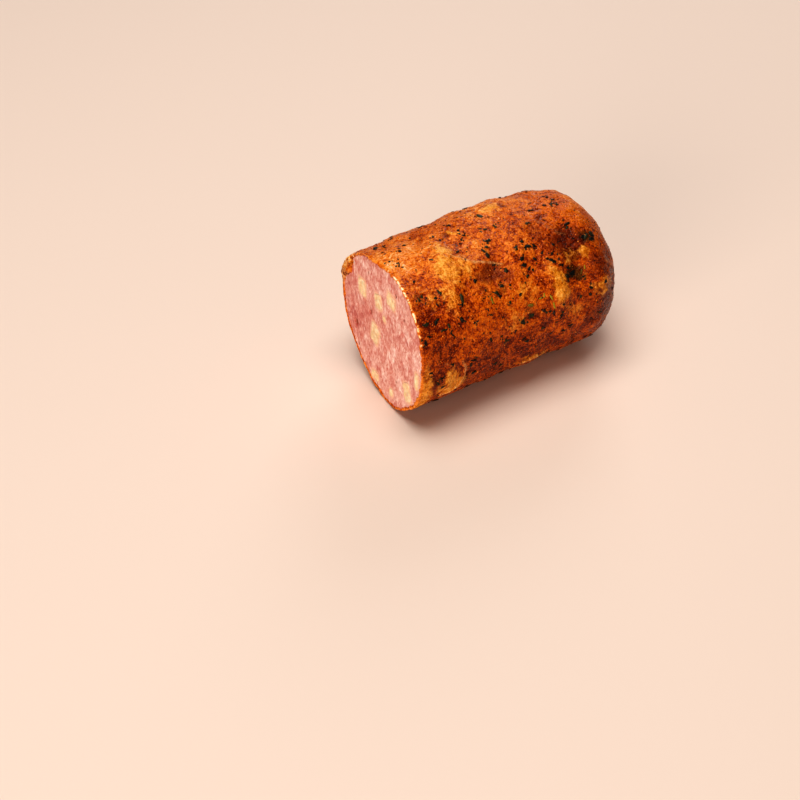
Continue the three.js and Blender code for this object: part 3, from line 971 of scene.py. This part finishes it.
def makeMeat():
    shell = spinProfile(meatProfile(), meatMesh["around"])
    x, turn, radius = shellPlaces(shell)
    points = crustPoints(np.full_like(x, cutX), turn, radius / roll["radius"])
    depth = x - cutX
    across = (points - np.array(cutMiddle)) @ np.array(cutAcross) / millimetre
    up = (points - np.array(cutMiddle)) @ np.array(cutUp) / millimetre
    behind = np.outer(np.full(len(x), meatRelief["cheeseDepth"] * millimetre), np.array(cutOut))
    toCheese = cheeseDistance(points - behind)
    rimStart, rimEnd = meatRelief["cheeseRim"]
    sunk = meatRelief["underCheese"] * ((-toCheese - rimStart) / (rimEnd - rimStart)).clip(0, 1)
    hollow = np.zeros_like(x)
    for holeAcross, holeUp, holeRadius, holeDepth in cavities:
        inside = np.exp(-(((across - holeAcross) ** 2 + (up - holeUp) ** 2) / holeRadius ** 2) ** 2)
        sunk += holeDepth * inside
        hollow = np.maximum(hollow, inside)
    flatPlaces = np.stack([across, up, np.zeros_like(x)], -1)
    for i, place in enumerate(flatPlaces.tolist()):
        point = Vector(place)
        swell = meatRelief["swell"] * noise.noise(point / meatRelief["swellSize"])
        grain = meatRelief["grain"] * noise.noise(point / meatRelief["grainSize"])
        sunk[i] -= swell + grain
    creamy = meatRelief["creamy"] * np.exp(-(toCheese.clip(0) / meatRelief["creamyReach"]) ** 2)
    leanAcross, leanUp, leanReach = leanAndShadePlace
    lean = np.exp(-((across - leanAcross) ** 2 + (up - leanUp) ** 2) / leanReach ** 2)
    isFront = depth < meatMesh["thick"] / 2
    depth = depth + np.where(isFront, sunk.clip(*meatRelief["limits"]), 0)
    moveShell(shell, points - np.outer(depth * millimetre, np.array(cutOut)))
    addPiece("cut_meat", shell, makeMeatMaterial(), ["sausage"],
             {"hollow": hollow, "creamy": creamy, "lean": lean})


makeMeat()
print("meat made")

# Firm cow's milk cheese warmed in the sausage: pale yellow, dense and slightly see-through. Its mesh has
# faces of one cell; it stands proud of the cut, swells, has ragged sides and a darker rim (mm)
cheese = {
    "cell": 0.38,
    "softening": 0.5,
    "softenings": 5,
    "proud": 0.1,
    "swell": 0.1,
    "swellSize": 2.2,
    "swellDepth": 2,
    "ragged": 0.6,
    "raggedSize": 2.0,
    "rim": 0.7,
    "rimDepth": 0.7,
    "rimFade": 1.5,
    "cloudSize": 2.2,
    "shades": [(0.3, "#dab68a"), (0.5, "#e8cca2"), (0.7, "#f6e6c8")],
    "rimColour": "#e2b29a",
    "grainSize": 0.8,
    "bumpDepth": 0.2,
    "roughness": 0.4,
    "ior": 1.45,
    "seeThrough": 0.3,
    "seeThroughColour": (1.0, 0.7, 0.35),
    "seeThroughDepth": 1.5,
}


def makeCheeseMaterial():
    material, shader = newMaterial("melting_cheese")
    place = addNode(material, "TexCoord").outputs["Object"]
    cloud = addNode(material, "TexNoise", {"Vector": place, "Scale": perMetre(cheese["cloudSize"]),
                                           "Detail": 3.0})
    colour = addNode(material, "ValToRGB", {"Fac": cloud.outputs["Fac"]}, cheese["shades"])
    rim = addNode(material, "Attribute", attribute_name="rim")
    colour = addNode(material, "Mix", {0: rim.outputs["Fac"], 6: colour.outputs["Color"],
                                       7: linear(cheese["rimColour"])}, data_type="RGBA")
    fine = addNode(material, "TexNoise", {"Vector": place, "Scale": perMetre(cheese["grainSize"]),
                                          "Detail": 2.0})
    bump = addNode(material, "Bump", {"Height": fine.outputs["Fac"], "Strength": 0.4,
                                      "Distance": cheese["bumpDepth"] * millimetre})
    material.node_tree.links.new(colour.outputs[2], shader.inputs["Base Color"])
    material.node_tree.links.new(bump.outputs[0], shader.inputs["Normal"])
    shader.inputs["Roughness"].default_value = cheese["roughness"]
    shader.inputs["IOR"].default_value = cheese["ior"]
    shader.inputs["Subsurface Weight"].default_value = cheese["seeThrough"]
    shader.inputs["Subsurface Radius"].default_value = cheese["seeThroughColour"]
    shader.inputs["Subsurface Scale"].default_value = cheese["seeThroughDepth"] * millimetre
    return material


def evenMesh(name):
    # the node's form as an even net of small faces, with its edges softened
    mesh = bpy.data.meshes.new("draft")
    shell = nodeMesh(name)
    shell.to_mesh(mesh)
    shell.free()
    draft = bpy.data.objects.new("draft", mesh)
    scene.collection.objects.link(draft)
    remesh = draft.modifiers.new("even", "REMESH")
    remesh.mode = "VOXEL"
    remesh.voxel_size = cheese["cell"] * millimetre
    soften = draft.modifiers.new("soften", "SMOOTH")
    soften.factor = cheese["softening"]
    soften.iterations = cheese["softenings"]
    shell = bmesh.new()
    shell.from_object(draft, bpy.context.evaluated_depsgraph_get())
    bpy.data.objects.remove(draft)
    return shell


def rimDistance(shell):
    # millimetres from each point, seen from the front, to the outline of the cheese
    places = []
    for vert in shell.verts:
        away = vert.co - cutMiddle
        places.append((away.dot(cutAcross), away.dot(cutUp)))
    places = np.array(places)
    outline = []
    for edge in shell.edges:
        fronts = [face.normal.dot(cutOut) > 0 for face in edge.link_faces]
        if len(fronts) == 2 and fronts[0] != fronts[1]:
            outline.append(places[edge.verts[0].index])
    outline = np.array(outline)
    return np.linalg.norm(places[:, None] - outline[None], axis=2).min(axis=1) / millimetre


def makeCheese(material):
    for name in cheeseNames:
        shell = evenMesh(name)
        inside = rimDistance(shell)
        rims = []
        for vert in shell.verts:
            depth = -(vert.co - cutMiddle).dot(cutOut) / millimetre
            point = vert.co / millimetre
            rise = cheese["proud"] + cheese["swell"] * noise.noise(point / cheese["swellSize"])
            vert.co += cutOut * rise * millimetre * max(1 - depth / cheese["swellDepth"], 0)
            vert.co += noise.noise_vector(point / cheese["raggedSize"]) * cheese["ragged"] * millimetre
            nearSide = 1 - inside[vert.index] / cheese["rim"]
            rims.append(min(max(depth / cheese["rimDepth"], nearSide, 0), 1))
        shell.normal_update()
        addPiece(name.replace("cheese_cube", "soft_cheese"), shell, material, [name],
                 {"rim": np.array(rims) ** cheese["rimFade"]})


makeCheese(makeCheeseMaterial())
print("cheese made")

# Dried herbs, cracked pepper and coarse spice baked on. Each leaf and stem that was placed one by one: x,
# turn, length, width (mm) and heading in degrees from along the roll towards the underside
placedLeaves = [
    (-50.5, 5, 1.6, 0.9, 40), (-52.7, -2, 1.7, 0.9, 90), (-49.7, 40, 2.2, 1.1, 100),
    (-51.7, 41, 2.0, 0.9, 90), (-44.4, 44.5, 2.5, 1.3, 110), (-41.8, 42, 2.2, 1.3, 80),
    (-36.6, 17.5, 1.9, 1.0, 60), (-38.4, 28.5, 2.6, 0.7, 85), (-32, 33.5, 2.8, 0.9, 125),
    (-28.4, 21.5, 1.2, 0.9, 0), (-22.9, 27, 1.2, 0.8, 20), (-23.3, 43, 2.1, 1.4, 160),
    (-33, 50, 5.4, 1.7, 105), (-34, 54.5, 1.9, 0.9, 110), (-52.5, 57.7, 3.4, 1.3, 0),
    (-47, 58.6, 3.5, 1.5, 140), (-36.3, 62.5, 2.0, 1.4, 90), (-42.2, 64, 2.3, 1.2, 90),
    (-44.7, 65.3, 1.8, 1.0, 0), (-52.1, 65.6, 2.1, 0.9, 30), (-54.2, 68.5, 2.6, 1.8, 90),
    (-41.3, 70.5, 1.4, 0.8, 50), (-30.8, 68, 1.3, 0.9, 0), (-22, 67.5, 1.3, 0.8, 30),
    (-11, 64.7, 1.6, 1.4, 90), (-53, 90.2, 2.7, 1.1, 5), (-42.7, 90.4, 2.1, 1.3, 20),
    (-24, 84.2, 2.7, 1.1, 70), (-17.5, 88.2, 1.5, 0.9, 90), (-14.7, 91.3, 1.5, 0.9, 150),
    (-6.5, 81.2, 2.7, 2.0, 30), (-1.7, 79, 3.0, 2.2, 20), (-33, 94, 2.9, 0.9, 15),
    (-34, 97.8, 1.8, 1.1, 90), (-32.3, 106, 2.7, 1.4, 150), (-47.4, 98, 2.1, 1.0, 20),
    (-45, 99.3, 2.7, 0.7, 40), (-49.3, 100.5, 2.0, 1.1, 60), (-20.7, 106.4, 2.3, 1.0, 15),
    (-16.6, 113.3, 3.5, 1.3, 60), (-4.8, 97, 1.8, 1.3, 80), (-6.4, 94, 1.5, 0.9, 150),
    (-8.5, 53.7, 1.2, 1.0, 90), (-1, 56.3, 1.2, 0.9, 0), (-7.1, 43.5, 2.5, 1.4, 120),
    (-10.6, 36.7, 1.4, 0.7, 0), (-12, 29, 3.0, 1.8, 90), (-12.3, 24.5, 2.3, 1.1, 80),
    (-9.8, 22.6, 1.9, 1.1, 0), (-7.5, 18.2, 2.5, 1.4, 10), (-16, 2, 2.3, 1.2, 60),
    (-14.5, 5, 1.7, 0.9, 30), (-17, 8, 1.8, 0.9, 110), (-15.3, -12.5, 2.3, 1.1, 20),
    (-4.6, 8.3, 1.8, 1.0, 10), (-6.2, 6, 1.5, 0.8, 20), (-24.9, 0, 2.1, 0.9, 100),
    (-25.7, -7, 1.6, 0.9, 100), (-0.9, -7, 3.6, 1.6, 80), (-12.3, 52.5, 2.0, 1.3, 0),
    (-16, 55.5, 2.5, 1.3, 30), (1.8, 32, 3.1, 1.8, 140), (6, 29, 2.1, 1.1, 20),
    (7.5, 33.5, 3.6, 1.4, 10), (10.9, 34.4, 2.7, 1.0, 60), (2, 40, 2.6, 1.6, 150),
    (1.6, 44.5, 2.6, 1.2, 5), (3.5, 48, 2.5, 1.2, 150), (1.4, 52.5, 1.9, 1.1, 160),
    (13.6, 46, 1.7, 1.2, 30), (15.6, 49, 3.6, 1.6, 50), (17.2, 44, 1.7, 1.0, 150),
    (18.8, 53.7, 3.0, 1.0, 30), (22.2, 57, 2.1, 1.1, 0), (13.8, 55.3, 1.2, 0.8, 130),
    (20.3, 62.5, 2.1, 1.6, 0), (24, 62, 5.0, 1.9, 0), (30.5, 75.5, 2.5, 1.1, 30),
    (28.5, 67, 1.3, 0.8, 0), (13.8, 87.5, 1.5, 1.2, 0), (3.7, 91.7, 1.4, 1.1, 90),
    (19, 99, 2.9, 1.1, 10), (15.3, 101.5, 1.8, 1.1, 150), (19.3, 82.5, 1.5, 0.8, 20),
    (25.1, 79.3, 1.6, 1.1, 80), (7.6, 80.7, 1.8, 1.1, 0), (20.3, 7, 2.5, 1.3, 0),
    (13.7, 17.5, 1.8, 1.3, 0), (34, 2, 1.5, 1.1, 90), (34, 8.5, 1.5, 1.1, 60), (31.5, 7, 1.8, 1.1, 150),
    (31.5, 27.5, 2.7, 1.1, 0), (37, 41, 3.0, 2.0, 150), (40.5, 40, 3.0, 1.6, 60),
    (39.3, 44, 3.0, 1.3, 0), (35.5, 40.5, 2.1, 1.4, 0), (0.3, 9, 3.4, 0.9, 90), (35, 98, 2.1, 1.1, 30),
    (19.2, 49.2, 1.2, 0.8, 150), (30.8, 29.7, 1.9, 1.1, 130),
]
placedStems = [
    (-19.4, 58.8, 3.2, 1.0, 90), (9.3, 71.5, 3.0, 0.8, 70), (10.1, 77.5, 3.4, 0.9, 80),
    (5, 69.5, 5.2, 0.6, 172), (6.3, 68.2, 2.0, 0.9, 100), (-1.7, 71.5, 2.6, 1.2, 10),
    (28.8, 63, 2.6, 0.6, 130), (31, 61, 2.4, 0.6, 100), (4, -10, 2.6, 0.6, 40),
    (-30, -60, 3.2, 0.7, 30), (12, -88, 3.4, 0.7, 100), (-8, -120, 3.0, 0.7, 60),
]


def frameOnCrust(x, turn):
    # the crust's own axes at each place (along it, round it, straight out) and the point itself
    step = 0.7  # millimetres to each side, over which the slope is taken
    x = np.array(x, float)
    turn = np.array(turn, float)
    ones = np.ones_like(x)
    here = crustPoints(x, turn, ones)
    along = crustPoints(x + step, turn, ones) - crustPoints(x - step, turn, ones)
    round_ = crustPoints(x, turn + step / perDegree, ones) - crustPoints(x, turn - step / perDegree, ones)
    first = along / np.linalg.norm(along, axis=1)[:, None]
    out = np.cross(round_, first)
    out /= np.linalg.norm(out, axis=1)[:, None]
    frames = np.zeros((len(x), 3, 4))
    frames[:, :, 0] = first
    frames[:, :, 1] = np.cross(out, first)
    frames[:, :, 2] = out
    frames[:, :, 3] = here
    return frames


def leafShape():
    # a thin chip in its own millimetres: 1 long, 1 wide, its top face lifted
    shell = bmesh.new()
    bmesh.ops.create_grid(shell, x_segments=5, y_segments=2, size=0.5)
    lifted = bmesh.ops.extrude_face_region(shell, geom=shell.faces[:])
    for item in lifted["geom"]:
        if isinstance(item, bmesh.types.BMVert):
            item.co.z = 1
    bmesh.ops.recalc_face_normals(shell, faces=shell.faces[:])
    return shell


def crumbShape():
    shell = bmesh.new()
    bmesh.ops.create_icosphere(shell, subdivisions=1, radius=0.5)
    return shell


def shapeArrays(shell):
    corners = np.array([vert.co for vert in shell.verts])
    faces = [[vert.index for vert in face.verts] for face in shell.faces]
    shell.free()
    return corners, faces


def turnedBy(points, angles, first, second):
    # points of each copy, turned by its own angle in the plane of two axes
    cosine = np.cos(angles)[:, None]
    sine = np.sin(angles)[:, None]
    turned = points.copy()
    turned[..., first] = points[..., first] * cosine - points[..., second] * sine
    turned[..., second] = points[..., first] * sine + points[..., second] * cosine
    return turned


# How leaves and stems differ. They are as thick and as deep in the crust as the first two say (mm), and
# shifted along by the jitter (in lengths); torn sides, bend and arch are in widths, tilt and pitch in
# radians. Two values are the least and what may come on top.
leafForm = {
    "thickness": 0.3,
    "sunk": 0.16,
    "torn": (0.35, 1.1),
    "jitter": 0.4,
    "narrow": 0.8,  # how much narrower a pointed end is, and how much where it broke off
    "broken": 0.15,
    "brokenShare": 0.65,
    "bend": 0.7,
    "bendMiddle": 0.4,
    "arch": (0.05, 0.09),
    "tilt": 0.3,
    "pitch": 0.25,
}


def leafCopies(lengths, widths, headings, random):
    # dried leaf flakes: pointed or broken off, torn at the sides, bent over the crust and leaning a little
    corners, faces = shapeArrays(leafShape())
    count = len(lengths)
    tornLeast, tornRange = leafForm["torn"]
    torn = tornLeast + tornRange * random.random((count, len(corners)))
    jitter = 1 + leafForm["jitter"] * (random.random((count, len(corners))) - 0.5)
    isBroken = random.random((count, 1)) < leafForm["brokenShare"]
    narrowing = np.where(isBroken, leafForm["broken"], leafForm["narrow"])
    fromMiddle = (2 * corners[:, 0]) ** 2
    ending = 1 - fromMiddle * np.where(corners[:, 0] > 0, narrowing, leafForm["narrow"])
    bend = leafForm["bend"] * (random.random(count) - 0.5)[:, None] * (fromMiddle - leafForm["bendMiddle"])
    archLeast, archRange = leafForm["arch"]
    arch = (1 - fromMiddle) * (archLeast + archRange * random.random(count))[:, None]
    points = np.empty((count, len(corners), 3))
    points[..., 0] = corners[:, 0] * lengths[:, None] * jitter
    points[..., 1] = corners[:, 1] * ending * torn * widths[:, None] + bend * widths[:, None]
    points[..., 2] = corners[:, 2] * leafForm["thickness"] - leafForm["sunk"] + arch * widths[:, None]
    points = turnedBy(points, leafForm["tilt"] * (random.random(count) - 0.5), 1, 2)
    points = turnedBy(points, leafForm["pitch"] * (random.random(count) - 0.5), 0, 2)
    return turnedBy(points, np.radians(-headings), 0, 1), faces


# The form of a crumb, in its own sizes. Two values are the least and what may come on top.
crumbForm = {"rough": (0.6, 0.8), "long": (0.9, 0.9), "wide": 0.85, "high": 0.7}


def crumbCopies(sizes, random):
    # cracked grains: rough splinters, half sunk in the crust
    corners, faces = shapeArrays(crumbShape())
    count = len(sizes)
    roughLeast, roughRange = crumbForm["rough"]
    points = corners * (roughLeast + roughRange * random.random((count, len(corners), 1)))
    longLeast, longRange = crumbForm["long"]
    stretch = np.stack([longLeast + longRange * random.random(count), np.full(count, crumbForm["wide"]),
                        np.full(count, crumbForm["high"])], -1)
    points = points * stretch[:, None]
    points = points * sizes[:, None, None]
    return turnedBy(points, 2 * math.pi * random.random(count), 0, 1), faces


def addScatter(name, copies, places, ownTones, material):
    # copies of one small shape, each in millimetres of its own, set on the crust as one piece
    points, faces = copies
    frames = frameOnCrust(*places)
    turned = np.einsum("nij,nkj->nki", frames[:, :3, :3], points * millimetre) + frames[:, None, :3, 3]
    corners = points.shape[1]
    allFaces = [[corner + i * corners for corner in face] for i in range(len(points)) for face in faces]
    mesh = bpy.data.meshes.new(name)
    mesh.from_pydata(turned.reshape(-1, 3).tolist(), [], allFaces)
    shell = bmesh.new()
    shell.from_mesh(mesh)
    bpy.data.meshes.remove(mesh)
    addPiece(name, shell, material, ["sausage"], {"tone": np.repeat(ownTones, corners)})


# The flakes that stand out most, where the solid has them. Leaves and pepper: how many are drawn, their
# length and width (mm), and whether they may lie among the placed ones
fused = {
    "seed": 7,
    "leaves": (30, 3.2, 1.3, False),
    "pepper": (54, 1.8, 1.4, True),
    "smallest": 0.75,  # the least share of that size, and what may come on top
    "spread": 0.5,
    "gap": 4.2,
    "cutMargin": 5,
    "endMargin": 14,
    "below": 138,  # beyond this turn lies the underside
    "placedFrom": -30,  # the turns where the placed leaves show
    "placedTo": 122,
    "mostAttempts": 2000,
}
# the placed leaves that the solid has, by x and turn
fusedLeaves = [
    (-54.2, 68.5), (-53, 90.2), (-52.5, 57.7), (-47, 58.6), (-45, 99.3), (-38.4, 28.5), (-33, 50),
    (-33, 94), (-32.3, 106), (-32, 33.5), (-24, 84.2), (-16.6, 113.3), (-12, 29), (-6.5, 81.2),
    (-1.7, 79), (-0.9, -7), (0.3, 9), (1.6, 44.5), (1.8, 32), (2, 40), (7.5, 33.5), (10.9, 34.4),
    (15.6, 49), (18.8, 53.7), (19, 99), (24, 62), (31.5, 27.5), (37, 41), (39.3, 44), (40.5, 40),
]


def plainPoint(x, turn):
    # one point of the solid's crust, without the finer skin
    return crustPoints(np.array([x]), np.array([turn]), np.ones(1), np.zeros(1), False)[0] / millimetre


def drawFused():
    # rows of x, turn, length, width and heading for each kind
    draw = seededRandom(fused["seed"])
    taken = [plainPoint(*leaf) for leaf in fusedLeaves]
    drawn = {}
    for kind in ("leaves", "pepper"):
        count, length, width, everywhere = fused[kind]
        rows = []
        for _ in range(fused["mostAttempts"]):
            if len(rows) == count:
                break
            x = roll["length"] * (draw() - 0.5)
            turn = 360 * draw() - 180
            if x < cutX + fused["cutMargin"] or x > roll["length"] / 2 - fused["endMargin"]:
                continue
            if abs(turn) > fused["below"]:
                continue
            if not everywhere and fused["placedFrom"] <= turn <= fused["placedTo"]:
                continue
            at = plainPoint(x, turn)
            if min(np.linalg.norm(at - other) for other in taken) < fused["gap"]:
                continue
            size = fused["smallest"] + fused["spread"] * draw()
            taken.append(at)
            rows.append((x, turn, length * size, width * size, 180 * draw()))
        drawn[kind] = np.array(rows).T
    return drawn


# Smaller flakes over the rest of the crust, drawn by seed: how many of each, and their sizes (mm)
scatter = {
    "leafSeed": 11,
    "leaves": 280,
    "leafLength": (0.8, 3.0),
    "leafWidth": (0.5, 1.2),
    "leafCrowding": 0.9,
    "mostlyShort": 1.6,  # the higher, the fewer long leaves
    "placedFrom": -25,  # the turns where the placed leaves show, and the size of the others there
    "placedTo": 125,
    "amongPlaced": 0.45,
    "scraps": 2,
    "scrapLength": (0.5, 1.3),
    "scrapWidth": (0.4, 0.4),  # in its lengths, the least and what may come on top
    "scrapReach": 1.8,
    "stemSeed": 12,
    "pepperSeed": 13,
    "pepper": 560,
    "pepperSize": (0.35, 0.95),
    "pepperCrowding": 0.85,
    "grainSeed": 14,
    "grains": 1900,
    "grainSize": (0.35, 0.75),
    "cutMargin": 1.5,
    "endMargin": 0.8,
    "below": 150,
    "clusterSize": 6,  # of a cluster, and how sharply it ends
    "clusterEdge": 3,
}


def drawPlaces(count, random, crowding):
    # places all over the crust, the more of them in clusters the closer crowding is to 1
    places = []
    while len(places) < count:
        x = roll["length"] * (random.random() - 0.5)
        turn = 360 * random.random() - 180
        point = Vector((x, turn * perDegree, 0))
        crowd = noise.noise(point / scatter["clusterSize"]) * scatter["clusterEdge"]
        if random.random() < crowding and crowd < random.random():
            continue
        if x < cutX + scatter["cutMargin"] or x > roll["length"] / 2 - scatter["endMargin"]:
            continue
        if abs(turn) < scatter["below"]:
            places.append((x, turn))
    return np.array(places).T


def between(sizes, share):
    # from the first size to the second one
    return sizes[0] + (sizes[1] - sizes[0]) * share


# Each chip is darker or lighter by its own tone and by its veins; sizes are in millimetres
chipFinish = {"veinSize": 0.9, "veins": 0.2, "bumpDepth": 0.15}


def makeChipMaterial(name, darkest, middle, lightest, roughness, ior):
    material, shader = newMaterial(name)
    place = addNode(material, "TexCoord").outputs["Object"]
    tone = addNode(material, "Attribute", attribute_name="tone")
    vein = addNode(material, "TexNoise", {"Vector": place, "Scale": perMetre(chipFinish["veinSize"]),
                                          "Detail": 2.0})
    mixed = addNode(material, "MapRange", {"Value": vein.outputs["Fac"],
                                           "From Min": noiseRange[0], "From Max": noiseRange[1],
                                           "To Min": -chipFinish["veins"], "To Max": chipFinish["veins"]})
    mixed = addNode(material, "Math", {0: tone.outputs["Fac"], 1: mixed.outputs[0]}, operation="ADD")
    colour = addNode(material, "ValToRGB", {"Fac": mixed.outputs[0]},
                     [(0.0, darkest), (0.5, middle), (1.0, lightest)])
    bump = addNode(material, "Bump", {"Height": vein.outputs["Fac"], "Strength": 0.5,
                                      "Distance": chipFinish["bumpDepth"] * millimetre})
    material.node_tree.links.new(colour.outputs["Color"], shader.inputs["Base Color"])
    material.node_tree.links.new(bump.outputs[0], shader.inputs["Normal"])
    shader.inputs["Roughness"].default_value = roughness
    shader.inputs["IOR"].default_value = ior
    return material


def makeLeaves(drawn):
    # the placed ones, those drawn with the solid's, scraps of both around them, then the rest, which
    # are small where the placed ones show
    random = np.random.default_rng(scatter["leafSeed"])
    placed = np.array(placedLeaves).T
    scraps = np.repeat(np.hstack([placed, drawn]), scatter["scraps"], axis=1)
    count = scraps.shape[1]
    scraps[0] += scatter["scrapReach"] * (2 * random.random(count) - 1)
    scraps[1] += scatter["scrapReach"] / perDegree * (2 * random.random(count) - 1)
    scraps[2] = between(scatter["scrapLength"], random.random(count))
    widthLeast, widthRange = scatter["scrapWidth"]
    scraps[3] = scraps[2] * (widthLeast + widthRange * random.random(count))
    scraps[4] = 360 * random.random(count)
    places = drawPlaces(scatter["leaves"], random, scatter["leafCrowding"])
    count = places.shape[1]
    amongPlaced = (places[1] > scatter["placedFrom"]) & (places[1] < scatter["placedTo"])
    seen = np.where(amongPlaced, scatter["amongPlaced"], 1)
    lengths = between(scatter["leafLength"], random.random(count) ** scatter["mostlyShort"]) * seen
    widths = between(scatter["leafWidth"], random.random(count)) * np.sqrt(seen)
    rest = np.vstack([places, lengths, widths, 360 * random.random(count)])
    rows = np.hstack([placed, drawn, scraps, rest])
    # dried marjoram and parsley, soaked in fat: black-green with a dull shine
    material = makeChipMaterial("dried_herb_leaf", "#090a06", "#15170e", "#3a3a1c", 0.55, 1.4)
    addScatter("herb_leaves", leafCopies(rows[2], rows[3], rows[4], random), rows[:2],
               random.random(rows.shape[1]), material)


def makeStems():
    random = np.random.default_rng(scatter["stemSeed"])
    placed = np.array(placedStems).T
    copies = leafCopies(placed[2], placed[3], placed[4], random)
    # dried stalks of the same herbs: yellow-green, smoother than the leaves
    material = makeChipMaterial("green_herb_stem", "#6e5a10", "#8a7a16", "#b0a42c", 0.5, 1.45)
    addScatter("herb_stems", copies, placed[:2], random.random(len(placed[0])), material)


def makeCrumbs(name, seed, count, sizes, crowding, material, drawn):
    # those drawn with the solid's, then the rest, most of them small
    random = np.random.default_rng(seed)
    width = np.append(drawn[3], between(sizes, random.random(count) ** 2))
    places = np.hstack([drawn[:2], drawPlaces(count, random, crowding)])
    addScatter(name, crumbCopies(width, random), places, random.random(len(width)), material)


def makePepper(drawn):
    # black pepper, cracked: a nearly black husk with brown broken faces
    material = makeChipMaterial("cracked_black_pepper", "#0a0604", "#1a100a", "#3a2012", 0.5, 1.45)
    makeCrumbs("pepper_crumbs", scatter["pepperSeed"], scatter["pepper"], scatter["pepperSize"],
               scatter["pepperCrowding"], material, drawn)


def makeSpice():
    # coarse paprika, fried in the fat: glassy red to orange grains
    material = makeChipMaterial("paprika_grains", "#8a2c06", "#cc5c0e", "#f2a03c", 0.4, 1.46)
    makeCrumbs("spice_grains", scatter["grainSeed"], scatter["grains"], scatter["grainSize"], 0, material,
               np.zeros((5, 0)))


drawn = drawFused()
makeLeaves(drawn["leaves"])
makeStems()
makePepper(drawn["pepper"])
makeSpice()
print("flakes made")

# A pale matt floor, and soft studio light: a wide key overhead, a low fill from the left and a weak
# light from behind, all turned to one point in the sausage (metres)
stage = {
    "floorSize": 4,
    "floorColour": "#e8d8cd",
    "floorRoughness": 0.85,
    "world": "#fff0e2",
    "worldStrength": 0.025,
    "lit": (0, 0, 0.035),
}
lights = [
    # name, place seen from the lit point, size, watts, colour
    ("key", (-0.15, -0.06, 1.6), 1.3, 20, "#fff8f2"),
    ("fill", (-1.4, -0.85, 0.27), 1.0, 17, "#fff0e2"),
    ("back", (1.2, 1.3, 0.8), 0.8, 7, "#ffffff"),
]


def addFloor():
    shell = bmesh.new()
    bmesh.ops.create_grid(shell, x_segments=1, y_segments=1, size=stage["floorSize"] / 2)
    mesh = bpy.data.meshes.new("floor")
    shell.to_mesh(mesh)
    shell.free()
    material, shader = newMaterial("matt_card")
    shader.inputs["Base Color"].default_value = linear(stage["floorColour"])
    shader.inputs["Roughness"].default_value = stage["floorRoughness"]
    mesh.materials.append(material)
    floor = bpy.data.objects.new("floor", mesh)
    scene.collection.objects.link(floor)


def addLights():
    world = bpy.data.worlds.new("studio")
    world.use_nodes = True
    world.node_tree.nodes["Background"].inputs["Color"].default_value = linear(stage["world"])
    world.node_tree.nodes["Background"].inputs["Strength"].default_value = stage["worldStrength"]
    scene.world = world
    for name, towards, size, watts, colour in lights:
        lamp = bpy.data.lights.new(name, "AREA")
        lamp.size = size
        lamp.energy = watts
        lamp.color = linear(colour)[:3]
        light = bpy.data.objects.new(name, lamp)
        light.location = Vector(stage["lit"]) + Vector(towards)
        light.rotation_euler = Vector(towards).to_track_quat("Z", "Y").to_euler()
        scene.collection.objects.link(light)


addFloor()
addLights()
scene.view_settings.view_transform = "Standard"
scene.view_settings.look = "High Contrast"
print("stage and lights set")
